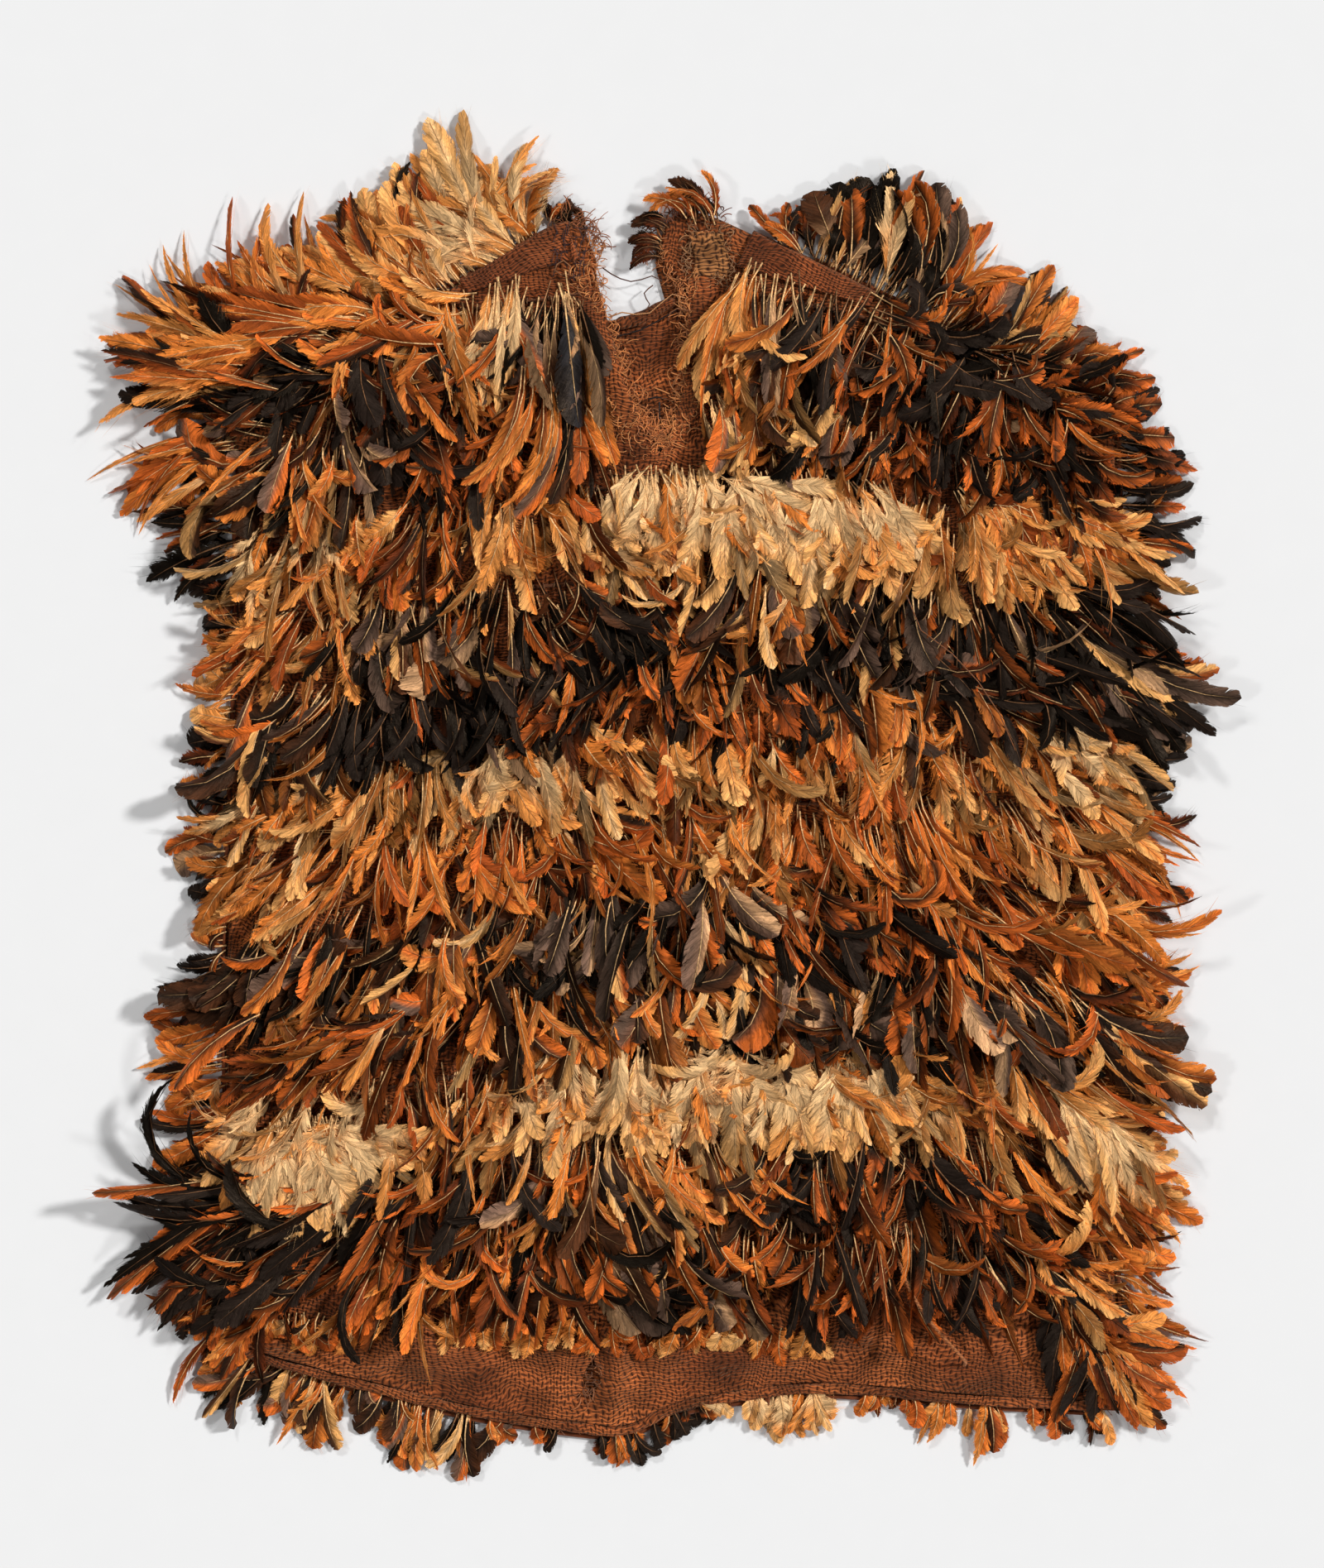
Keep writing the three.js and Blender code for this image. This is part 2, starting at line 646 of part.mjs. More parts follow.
// Rows of the back lie just above the surface, arched between cord and tip
function outerRow({ path, locks, lengths, turns, arch, seed }) {
  const corners = path.map((p) => new THREE.Vector3(p.x, p.y, 0));
  const curve = new THREE.CatmullRomCurve3(corners, false, 'centripetal');
  const place = (t) => {
    const p = curve.getPointAt(THREE.MathUtils.clamp(t, 0, 1));
    return new THREE.Vector2(p.x, p.y);
  };
  const level = (values, t) => {
    const scaled = t * (values.length - 1);
    const k = Math.min(Math.floor(scaled), values.length - 2);
    return THREE.MathUtils.lerp(values[k], values[k + 1], scaled - k);
  };
  const shape = (t) => ({ length: level(lengths, t), turn: level(turns, t), arch: level(arch, t) });
  const base = () => FLOOR_GAP;
  const lift = (s, length, wanted) => {
    const rise = wanted.arch * Math.sin((Math.PI * s) / length);
    return LOCK_THICKNESS / 2 + 0.2 + rise;
  };
  const tip = () => TIP_HEIGHT;
  return featherRow({ place, locks, base, shape, lift, tip, seed });
}

// Points just outside the shoulder edge, further out where a band turns over it
function outsideShoulder(from, to, clearance, count) {
  const nearBand = 10;
  return steps([{ from, to, steps: count }]).map((x) => {
    const outward = awayFromShoulder(x);
    const band = x < 0 ? LEFT_BAND : RIGHT_BAND;
    const beyond = Math.max(band.from - x, x - band.to, 0);
    const over = (SEAM_GAP + BAND_BULGE + CLOTH_WALL) * (1 - THREE.MathUtils.smoothstep(beyond, 2, nearBand));
    const clear = clearance + over;
    return { x: x + outward.x * clear, y: curveAt(SHOULDER_LINE, x) + outward.y * clear };
  });
}

// Points just outside a side edge of the back panel
function outsideSide(sign, from, to, count) {
  const edge = sign < 0 ? CLOTH_LEFT : CLOTH_RIGHT;
  const clear = BACK_MARGIN + EDGE_CLEARANCE;
  return steps([{ from, to, steps: count }]).map((y) => ({ x: edge + sign * clear + sideWave(y), y }));
}

// The hem row's cord lies just past the back panel's bottom edge
function outsideHem(count) {
  const clear = HEM_REACH + EDGE_CLEARANCE + 2 * SEAM_GAP;
  return steps([{ from: CLOTH_LEFT + 2, to: CLOTH_RIGHT - 4, steps: count }]).map((x) => ({
    x,
    y: curveAt(HEM_LINE, x) - clear,
  }));
}

function looseCord() {
  const points = LOOSE_CORD_ROUTE.map(([x, y, z]) => new THREE.Vector3(x, y, z));
  return tube(points, LOOSE_CORD_RADIUS, 8, 34);
}

const group = new THREE.Group();

function addPiece(name, geometry, colour, roughness) {
  const material = new THREE.MeshStandardMaterial({ color: colour, roughness, metalness: 0 });
  const mesh = new THREE.Mesh(geometry, material);
  mesh.name = name;
  group.add(mesh);
}

addPiece('back_panel', backPanel(), CLOTH_COLOUR, 0.95);
addPiece('front_panel', frontPanel(), CLOTH_COLOUR, 0.95);
addPiece('front_hem', frontHem(), CLOTH_COLOUR, 0.95);
addPiece('nape_roll', napeRoll(), CLOTH_COLOUR, 0.95);
addPiece('left_shoulder_band', shoulderBand(LEFT_BAND), CLOTH_COLOUR, 0.95);
addPiece('right_shoulder_band', shoulderBand(RIGHT_BAND), CLOTH_COLOUR, 0.95);
addPiece('right_neck_patch', neckPatch(), PATCH_COLOUR, 0.95);

FRONT_ROWS.forEach((row, index) => {
  addPiece(row.name, frontRow(row, 101 + 17 * index), row.colour, 0.7);
});

const leftFanPath = [
  ...outsideShoulder(LEFT_FAN_INNER, CLOTH_LEFT, LEFT_FAN_CLEARANCE, 12),
  ...outsideSide(-1, SHOULDER_LINE[0].y - CORNER_GAP, FAN_FOOT, 3),
];
const rightFanPath = [
  ...outsideSide(1, FAN_FOOT, SHOULDER_LINE.at(-1).y - CORNER_GAP, 3),
  ...outsideShoulder(CLOTH_RIGHT, RIGHT_FAN_INNER, RIGHT_FAN_CLEARANCE, 12),
];
const leftSidePath = outsideSide(-1, SIDE_ROW_TOP, SIDE_ROW_BOTTOM, 12);
const rightSidePath = outsideSide(1, SIDE_ROW_BOTTOM, SIDE_ROW_TOP, 12);

addPiece('left_shoulder_fan', outerRow({ path: leftFanPath, ...LEFT_FAN }), RUST_COLOUR, 0.7);
addPiece('right_shoulder_fan', outerRow({ path: rightFanPath, ...RIGHT_FAN }), RUST_COLOUR, 0.7);
addPiece('left_side_row', outerRow({ path: leftSidePath, ...LEFT_SIDE }), BROWN_COLOUR, 0.7);
addPiece('right_side_row', outerRow({ path: rightSidePath, ...RIGHT_SIDE }), BROWN_COLOUR, 0.7);
addPiece('back_hem_row', outerRow({ path: outsideHem(26), ...BACK_HEM }), BROWN_COLOUR, 0.7);
addPiece('loose_cord', looseCord(), CORD_COLOUR, 0.9);

export default group;
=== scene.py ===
"""A feather cape of coarse hand-woven tabby, laid flat with its front panel uppermost.

Lengths are in millimetres until a mesh is finished, and heights are measured from the surface
that the cape lies on. X runs to the right, Y toward the neck and Z up.
"""

import logging
import math
from collections.abc import Callable
from dataclasses import dataclass, field
from enum import Enum

import bmesh
import bpy
import numpy as np
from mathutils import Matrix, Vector


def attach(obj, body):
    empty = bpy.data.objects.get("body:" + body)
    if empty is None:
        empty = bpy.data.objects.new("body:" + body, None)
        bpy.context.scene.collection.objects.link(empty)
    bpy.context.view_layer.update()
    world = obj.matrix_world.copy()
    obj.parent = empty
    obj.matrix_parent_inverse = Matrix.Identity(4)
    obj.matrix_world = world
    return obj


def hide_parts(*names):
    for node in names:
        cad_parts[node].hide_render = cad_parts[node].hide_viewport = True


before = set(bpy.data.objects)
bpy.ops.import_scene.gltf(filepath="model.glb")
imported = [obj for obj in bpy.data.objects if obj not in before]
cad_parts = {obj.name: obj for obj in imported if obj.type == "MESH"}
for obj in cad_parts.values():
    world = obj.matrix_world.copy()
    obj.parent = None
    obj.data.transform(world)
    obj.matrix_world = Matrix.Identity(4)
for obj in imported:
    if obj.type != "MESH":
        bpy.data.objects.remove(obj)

# Kinds of value: a colour from 0 to 255, a place (x, y), one number or many, and Blender's own
Colour = tuple[int, int, int]
Spot = tuple[float, float]
Measure = np.ndarray | float
Chances = np.random.Generator
Material = bpy.types.Material
Piece = bpy.types.Object
Mesh = bmesh.types.BMesh
Layer = bmesh.types.BMLayerItem

LOG = logging.getLogger("feather_cape")
MM = 0.001
BODY = "root"

# Cloth, as in the solids
CLOTH_WALL = 2.0
SEAM_GAP = 0.3
CLOTH_LEFT = -286.0
CLOTH_RIGHT = 300.0
SIDE_WAVE = 4.0
SIDE_WAVE_LENGTH = 560.0
BACK_MARGIN = 2.0
HEM_ROLL_RADIUS = 3.0
HEM_REACH = 2 * HEM_ROLL_RADIUS + 5 * SEAM_GAP
NAPE_ROLL_RADIUS = 2.4
BAND_BULGE = 1.4
BAND_FOOT = 0.5
CORD_LIFT = 0.6
CORD_DEPTH = 4.0
ROOT_HEIGHT = 1.5
LOCK_RISE = 0.27
LOCK_DROOP = 0.0006
LOWEST_POINT = 0.3
FLOOR_GAP = 0.5

# The bottom edge of the front panel, then the top edge of both panels and the nape, as (x, y)
HEM_LINE = (
    (-286, -366), (-220, -385), (-132, -407), (-55, -419), (-22, -420),
    (8, -406), (50, -398), (110, -393), (220, -401), (300, -405),
)
SHOULDER_LINE = (
    (-286, 262), (-262, 291), (-176, 322), (-143, 336), (-66, 380), (-52, 376), (-40, 350),
    (-8, 350), (2, 380), (16, 389), (38, 384), (148, 330), (209, 301), (275, 274), (300, 248),
)
NAPE_LINE = ((-44, 315), (-15, 321), (2, 330), (17, 335))
FRONT_NECK = (
    (-44, 430), (-44, 346), (-37, 318), (-25, 275), (-9, 240), (-1.5, 226),
    (5, 240), (14, 268), (17, 300), (17, 338), (-2, 358), (-3, 430),
)
BACK_NECK = ((-4, 400), (-4, 352), (2, 330), (-15, 321), (-44, 315), (-44, 400))
RIP = ((-47, -403), (-43, -396), (-41, -390), (-43, -383), (-46, -377), (-51, -384), (-53, -390), (-51, -397))

# Soft ridges of the front panel: x, y, half length, half width, height and turn in degrees
FOLDS = (
    (-160, -372, 80, 17, 6, -16), (-28, -380, 34, 15, 7, 82), (90, -362, 85, 17, 5, 3),
    (215, -376, 60, 16, 6, -6), (-225, -350, 40, 18, 4, 40), (-130, -130, 170, 95, 4, 12),
    (140, 40, 160, 100, 5, -10), (-120, 190, 120, 90, 3, 5), (-100, 352, 70, 30, 3, 30),
    (90, 352, 75, 30, 4, -26), (-38, 300, 52, 18, 5, -70), (22, 296, 60, 17, 5, 84),
)


# ---- Numbers ----


def curve_at(table: tuple, x: Measure) -> np.ndarray:
    """Reads a smooth curve through a table of points.

    Args:
        table: The points (x, y), from left to right.
        x: Where the curve is read.

    Returns:
        The curve's height at each x.
    """
    points = np.array(table, float)
    xs, ys = points[:, 0], points[:, 1]
    last = len(xs) - 1
    before, after = np.maximum(np.arange(last + 1) - 1, 0), np.minimum(np.arange(last + 1) + 1, last)
    slopes = (ys[after] - ys[before]) / (xs[after] - xs[before])
    x = np.asarray(x, float)
    i = np.clip(np.searchsorted(xs, x, side="left") - 1, 0, last - 1)
    span = xs[i + 1] - xs[i]
    t = np.clip((x - xs[i]) / span, 0, 1)
    s = 1 - t
    start = ys[i] * (1 + 2 * t) * s * s + slopes[i] * span * t * s * s
    end = ys[i + 1] * t * t * (3 - 2 * t) - slopes[i + 1] * span * t * t * s
    return start + end


def ridge_height(ridges: tuple, x: Measure, y: Measure) -> np.ndarray:
    """How high soft ridges stand at a place.

    Args:
        ridges: Each ridge's x, y, half length, half width, height and turn in degrees.
        x: The place along X.
        y: The place along Y.

    Returns:
        The sum of the ridges' heights there.
    """
    height = np.zeros(np.broadcast(np.asarray(x, float), np.asarray(y, float)).shape)
    for ridge_x, ridge_y, long, wide, high, turn in ridges:
        cos, sin = math.cos(math.radians(turn)), math.sin(math.radians(turn))
        dx, dy = x - ridge_x, y - ridge_y
        along, across = (dx * cos + dy * sin) / long, (dy * cos - dx * sin) / wide
        height = height + high * np.exp(-along * along - across * across)
    return height


def front_top(x: Measure, y: Measure) -> np.ndarray:
    """The height of the front panel's outer face at a place."""
    return 2 * CLOTH_WALL + SEAM_GAP + ridge_height(FOLDS, x, y)


def side_wave(y: Measure) -> np.ndarray:
    """How far the cloth's side edges wander at a height up the cape."""
    return SIDE_WAVE * np.sin(2 * np.pi * np.asarray(y, float) / SIDE_WAVE_LENGTH)


def smooth(low: float, high: float, value: np.ndarray) -> np.ndarray:
    """A soft step from 0 at low to 1 at high."""
    t = np.clip((value - low) / (high - low), 0, 1)
    return t * t * (3 - 2 * t)


def unit(vectors: np.ndarray) -> np.ndarray:
    """The same directions at a length of 1."""
    return vectors / np.maximum(np.linalg.norm(vectors, axis=-1, keepdims=True), 1e-9)


def walked_along(points: np.ndarray) -> np.ndarray:
    """How far one has walked along a line at each of its points."""
    return np.concatenate([[0], np.cumsum(np.linalg.norm(np.diff(points, axis=0), axis=1))])


def linear(rgb: Colour) -> np.ndarray:
    """A colour as the eye reads it, from 0 to 255, in the light's own linear scale."""
    value = np.array(rgb, float) / 255
    return np.where(value <= 0.04045, value / 12.92, ((value + 0.055) / 1.055) ** 2.4)


# ---- Materials ----


class Wire:
    """A socket of a material that can be reckoned with."""

    def __init__(self, recipe: "Recipe", socket: bpy.types.NodeSocket) -> None:
        """Keeps the recipe and the socket."""
        self.recipe = recipe
        self.socket = socket

    def maths(self, operation: str, other: object = None, turned: bool = False) -> "Wire":
        """Adds one Math node.

        Args:
            operation: What it does.
            other: The second value.
            turned: Whether the second value comes first.

        Returns:
            Its result.
        """
        values = (other, self) if turned else (self, other)
        inputs = {k: value for k, value in enumerate(values) if value is not None}
        return self.recipe.node("ShaderNodeMath", {"operation": operation}, inputs)

    def __add__(self, other: object) -> "Wire":
        """Adds a number or wire."""
        return self.maths("ADD", other)

    def __sub__(self, other: object) -> "Wire":
        """Takes a number or wire away."""
        return self.maths("SUBTRACT", other)

    def __rsub__(self, other: object) -> "Wire":
        """Takes this wire from a number."""
        return self.maths("SUBTRACT", other, turned=True)

    def __mul__(self, other: object) -> "Wire":
        """Multiplies by a number or wire."""
        return self.maths("MULTIPLY", other)

    def __pow__(self, other: object) -> "Wire":
        """Raises to a power."""
        return self.maths("POWER", other)

    def sine(self) -> "Wire":
        """The sine of the value."""
        return self.maths("SINE")

    def size(self) -> "Wire":
        """The value without its sign."""
        return self.maths("ABSOLUTE")


class Recipe:
    """A node material under construction."""

    def __init__(self, name: str) -> None:
        """Starts an empty material.

        Args:
            name: The finish's name.
        """
        self.material = bpy.data.materials.new(name)
        self.material.use_nodes = True
        self.tree = self.material.node_tree
        self.tree.nodes.clear()

    def node(
        self, kind: str, settings: dict | None = None, inputs: dict | None = None, output: int | str = 0
    ) -> Wire:
        """Adds a node.

        Args:
            kind: The node's type.
            settings: Its settings.
            inputs: Values or wires by socket.
            output: The socket that is returned.

        Returns:
            The chosen output.
        """
        made = self.tree.nodes.new(kind)
        for key, value in (settings or {}).items():
            setattr(made, key, value)
        for key, value in (inputs or {}).items():
            if isinstance(value, Wire):
                self.tree.links.new(value.socket, made.inputs[key])
            else:
                made.inputs[key].default_value = value
        return Wire(self, made.outputs[output])

    def split(self, vector: Wire) -> tuple[Wire, Wire, Wire]:
        """Takes a vector apart into its three values."""
        first = self.node("ShaderNodeSeparateXYZ", None, {0: vector})
        outputs = first.socket.node.outputs
        return first, Wire(self, outputs[1]), Wire(self, outputs[2])

    def blend(self, factor: Wire, first: object, second: object) -> Wire:
        """Mixes two colours.

        Args:
            factor: How much of the second, from 0 to 1.
            first: The first colour.
            second: The second colour.

        Returns:
            The mixed colour.
        """
        return self.node("ShaderNodeMix", {"data_type": "RGBA"}, {0: factor, 6: first, 7: second}, output=2)

    def tone(self, colour: Wire, strength: Wire | float) -> Wire:
        """Scales a colour or a vector by a factor."""
        return self.node("ShaderNodeVectorMath", {"operation": "SCALE"}, {0: colour, "Scale": strength})

    def here(self) -> Wire:
        """The place on the object."""
        return self.node("ShaderNodeTexCoord", output="Object")

    def noise(self, place: Wire, scale: float, detail: float, output: int = 0, **more: float) -> Wire:
        """Adds noise.

        Args:
            place: Where it is read.
            scale: How fine it is.
            detail: How many finer layers it has.
            output: 0 for its value and 1 for its colour.
            more: Its other inputs.

        Returns:
            The noise.
        """
        inputs = {"Vector": place, "Scale": scale, "Detail": detail, **more}
        return self.node("ShaderNodeTexNoise", None, inputs, output)

    def spread(self, value: Wire, low: float, high: float, to_low: float = 0.0, to_high: float = 1.0) -> Wire:
        """Stretches one range of a value to another and holds it there.

        Args:
            value: The value.
            low: The range's start.
            high: The range's end.
            to_low: What the start becomes.
            to_high: What the end becomes.

        Returns:
            The new value.
        """
        return self.node("ShaderNodeMapRange", None, {0: value, 1: low, 2: high, 3: to_low, 4: to_high})

    def bump(self, strength: float, distance: float, height: Wire) -> Wire:
        """Tilts the surface as if it had this height."""
        inputs = {"Strength": strength, "Distance": distance, "Height": height}
        return self.node("ShaderNodeBump", None, inputs)

    def close(self, inputs: dict) -> Material:
        """Ends the material with a surface of these inputs."""
        shader = self.node("ShaderNodeBsdfPrincipled", None, inputs)
        end = self.tree.nodes.new("ShaderNodeOutputMaterial")
        self.tree.links.new(shader.socket, end.inputs[0])
        return self.material


def rgba(colour: Colour) -> tuple[float, float, float, float]:
    """A colour from 0 to 255 as a socket takes it."""
    red, green, blue = linear(colour)
    return (float(red), float(green), float(blue), 1.0)


@dataclass(frozen=True)
class FeatherFinish:
    """Barbs that catch the light in fine slanted streaks, frayed at the vane's edge.

    The colours Plumage hold how far out a place is on its vane beside its colour.
    """

    name: str = "feather"
    streaks: float = 42.0
    slant: float = 9.0
    depth: float = 0.6
    roughness: float = 0.38
    gloss: float = 0.12
    gloss_tint: tuple[float, float, float, float] = (1.0, 0.72, 0.5, 1.0)

    def material(self) -> Material:
        """Makes the finish.

        Returns:
            The material. It reads the map Vane and the colours Plumage.
        """
        r = Recipe(self.name)
        along, across, _ = r.split(r.node("ShaderNodeUVMap", {"uv_map": "Vane"}))
        colour = r.node("ShaderNodeAttribute", {"attribute_name": "Plumage"})
        outer = r.node("ShaderNodeAttribute", {"attribute_name": "Plumage"}, output="Alpha")
        edge = (across - 0.5).size() * 2
        drift = r.noise(r.here(), 160.0, 2.0)
        run = along * self.streaks - edge * self.slant + drift * 5.0
        lane = r.node("ShaderNodeCombineXYZ", None, {0: run, 1: across * 2.0, 2: drift * 3.0})
        barb = r.noise(lane, 1.0, 3.0, Roughness=0.7)
        clump = r.noise(lane, 0.28, 1.0)
        fine = r.spread(barb, 0.34, 0.66, 0.5, 1.45)
        broad = r.spread(clump, 0.35, 0.65, 0.66, 1.3)
        fray = barb * 0.75 + clump * 0.25 - outer * 0.5
        return r.close({
            "Base Color": r.tone(colour, fine * broad),
            "Roughness": self.roughness,
            "Specular IOR Level": self.gloss,
            "Specular Tint": self.gloss_tint,
            "Alpha": r.spread(fray, -0.03, 0.03),
            "Normal": r.bump(self.depth, 0.0004, barb * 2.0 + clump * 1.5),
        })


@dataclass(frozen=True)
class TabbyFinish:
    """Coarse tabby: thick uneven weft over a thinner warp, with dark gaps between the yarns."""

    name: str
    light: Colour
    dark: Colour
    gap: Colour = (66, 30, 14)
    warp_pitch: float = 3.3
    weft_pitch: float = 2.5
    waver: float = 0.0312
    depth: float = 1.0

    def material(self) -> Material:
        """Makes the finish.

        Returns:
            The material. It reads the map Cut, which holds millimetres of cloth over 1000.
        """
        r = Recipe(self.name)
        cut = r.node("ShaderNodeUVMap", {"uv_map": "Cut"})
        ripple = r.tone(r.noise(cut, 22.0, 3.0, output=1), self.waver)
        place = r.node("ShaderNodeVectorMath", {"operation": "ADD"}, {0: cut, 1: ripple})
        x, y, _ = r.split(place)
        warp = x * (math.pi / (self.warp_pitch * MM))
        weft = y * (math.pi / (self.weft_pitch * MM))
        across, up = warp.sine(), weft.sine()
        over = (warp - math.pi / 2).sine() * (weft - math.pi / 2).sine()
        ridge_warp = (across * across) ** 0.35
        ridge_weft = (up * up) ** 0.35
        on_top = r.spread(over, -0.25, 0.25)
        yarn = ridge_warp * on_top + ridge_weft * (1 - on_top)
        yarn = yarn * 0.6 + ridge_warp * ridge_weft * 0.4
        fibre = r.noise(place, 900.0, 4.0)
        stain = r.spread(r.noise(cut, 14.0, 4.0), 0.35, 0.65)
        lane = r.node("ShaderNodeCombineXYZ", None, {0: x * 26.0, 1: y * 420.0})
        slub = r.noise(lane, 1.0, 3.0, Roughness=0.7)
        uneven = r.spread(slub, 0.3, 0.7, 0.62, 1.3)
        body = r.blend(stain, rgba(self.dark), rgba(self.light))
        cloth = r.blend(r.spread(yarn, 0.25, 0.8), rgba(self.gap), body)
        dash = 1.34 - on_top * 0.6
        # Random lighter and darker patches over the cloth
        patchy_tone = r.spread(r.noise(cut, 34.0, 2.0), 0.36, 0.64, 0.66, 1.42)
        return r.close({
            "Base Color": r.tone(cloth, (fibre * 0.7 + 0.65) * uneven * dash * patchy_tone),
            "Roughness": 0.92,
            "Specular IOR Level": 0.15,
            "Sheen Weight": 0.25,
            "Sheen Roughness": 0.5,
            "Sheen Tint": (0.8, 0.5, 0.3, 1.0),
            "Normal": r.bump(self.depth, 0.0012, yarn + fibre * 0.35 + slub * 0.8),
        })


@dataclass(frozen=True)
class ThreadFinish:
    """Spun yarn: fibres wound round its length, coloured thread by thread."""

    name: str = "spun_thread"
    turns: float = 260.0

    def material(self) -> Material:
        """Makes the finish.

        Returns:
            The material. It reads the map Vane and the colours Plumage.
        """
        r = Recipe(self.name)
        along, across, _ = r.split(r.node("ShaderNodeUVMap", {"uv_map": "Vane"}))
        colour = r.node("ShaderNodeAttribute", {"attribute_name": "Plumage"})
        fuzz = r.noise(r.here(), 1400.0, 3.0)
        ply = (along * self.turns + across * math.tau).sine()
        return r.close({
            "Base Color": r.tone(colour, ply * 0.18 + fuzz * 0.7 + 0.6),
            "Roughness": 0.9,
            "Specular IOR Level": 0.15,
            "Sheen Weight": 0.2,
            "Normal": r.bump(0.6, 0.0004, ply * 0.5 + fuzz),
        })


@dataclass(frozen=True)
class SurfaceFinish:
    """The plain pale surface under the cape."""

    name: str = "pale_ground"
    colour: Colour = (240, 240, 240)

    def material(self) -> Material:
        """Makes the finish.

        Returns:
            The material.
        """
        r = Recipe(self.name)
        tone = r.spread(r.noise(r.here(), 40.0, 2.0), 0.0, 1.0, 0.98, 1.0)
        return r.close({"Base Color": r.blend(tone, rgba((0, 0, 0)), rgba(self.colour)), "Roughness": 0.95})


# ---- Feathers ----


class Shape(Enum):
    """The kinds of feather on the cape."""

    CONTOUR = "contour"
    BROAD = "broad"
    HACKLE = "hackle"
    DOWNY = "downy"
    CURLED = "curled"


CONTOUR, BROAD, HACKLE, DOWNY, CURLED = Shape


class Marking(Enum):
    """How a feather's second colour lies on it."""

    PLAIN = 0
    TIPPED = 1
    EDGED = 2
    HALVED = 3
    BASED = 4
    SHAFTED = 5


PLAIN, TIPPED, EDGED, HALVED, BASED, SHAFTED = Marking


@dataclass(frozen=True)
class FeatherCut:
    """How one kind of feather is cut, in shares of its length and of its half width."""

    shape: Shape
    barbs: int
    belly: float
    taper: float
    blunt: float
    lean: float
    split: float
    down: float
    ragged: float
    wisps: int
    wisp_length: float
    base: float
    fray: float
    variants: int

    def half_width(self, s: np.ndarray) -> np.ndarray:
        """The vane's half width along the feather, 1 at its widest."""
        rise = smooth(self.base, self.belly, s)
        fall = (1 - np.clip((s - self.belly) / (1 - self.belly), 0, 1) ** self.taper) ** self.blunt
        return np.clip(rise * fall, 0.02, 1)


# Shape, then the values in the order of the fields above
FEATHER_CUTS = (
    FeatherCut(CONTOUR, 14, 0.50, 2.8, 0.55, 0.15, 0.34, 0.14, 0.12, 8, 0.45, -0.14, 1.0, 9),
    FeatherCut(BROAD, 14, 0.60, 3.2, 0.50, 0.12, 0.16, 0.10, 0.05, 6, 0.26, -0.10, 0.9, 7),
    FeatherCut(HACKLE, 13, 0.34, 1.5, 0.85, 0.13, 0.36, 0.22, 0.20, 10, 0.75, -0.22, 1.15, 9),
    FeatherCut(DOWNY, 16, 0.42, 2.0, 0.60, 0.22, 0.90, 0.60, 0.45, 26, 0.70, -0.45, 1.38, 9),
    FeatherCut(CURLED, 13, 0.46, 1.6, 0.75, 0.20, 0.50, 0.30, 0.26, 14, 0.70, -0.16, 1.2, 8),
)
QUILL_RINGS = 5
QUILL_FROM = -0.07
QUILL_TO = 0.96
VANE_END = 1.03
WISP_END = 1.06
WISP_THICKNESS = 0.0045
WISP_ROOT = 0.55


@dataclass
class FeatherPattern:
    """One flat feather, ready to be laid out many times.

    Each row of points holds: place along, place across in half widths, rise in half widths, place
    across in quill radii, rise in quill radii, the kind of part (0 vane, 1 quill, 2 wisp), and how
    far out on the vane the point is, from 0 at the quill to about 1 at the frayed edge.
    """

    points: np.ndarray
    faces: tuple[np.ndarray, np.ndarray]
    grain: np.ndarray


def tube(bm: Mesh, closed: bool, sides: int, tip: float, rings: int) -> None:
    """Adds an upright tapering tube, 1 high and 1 in radius at its foot.

    Args:
        bm: The mesh to add to.
        closed: Whether its ends are closed.
        sides: How many faces go round it.
        tip: Its radius at the top.
        rings: How many stretches it has.
    """
    made = bmesh.ops.create_cone(
        bm, cap_ends=closed, segments=sides, radius1=1.0, radius2=tip, depth=1.0
    )["verts"]
    long = {e for v in made for e in v.link_edges if abs(e.verts[0].co.z - e.verts[1].co.z) > 0.5}
    bmesh.ops.subdivide_edges(bm, edges=list(long), cuts=rings - 1, use_grid_fill=True)


def faces_of(bm: Mesh) -> tuple[np.ndarray, np.ndarray]:
    """Reads a mesh's faces: the point of each corner, and each face's number of corners."""
    bm.verts.index_update()
    return np.array([v.index for f in bm.faces for v in f.verts]), np.array([len(f.verts) for f in bm.faces])


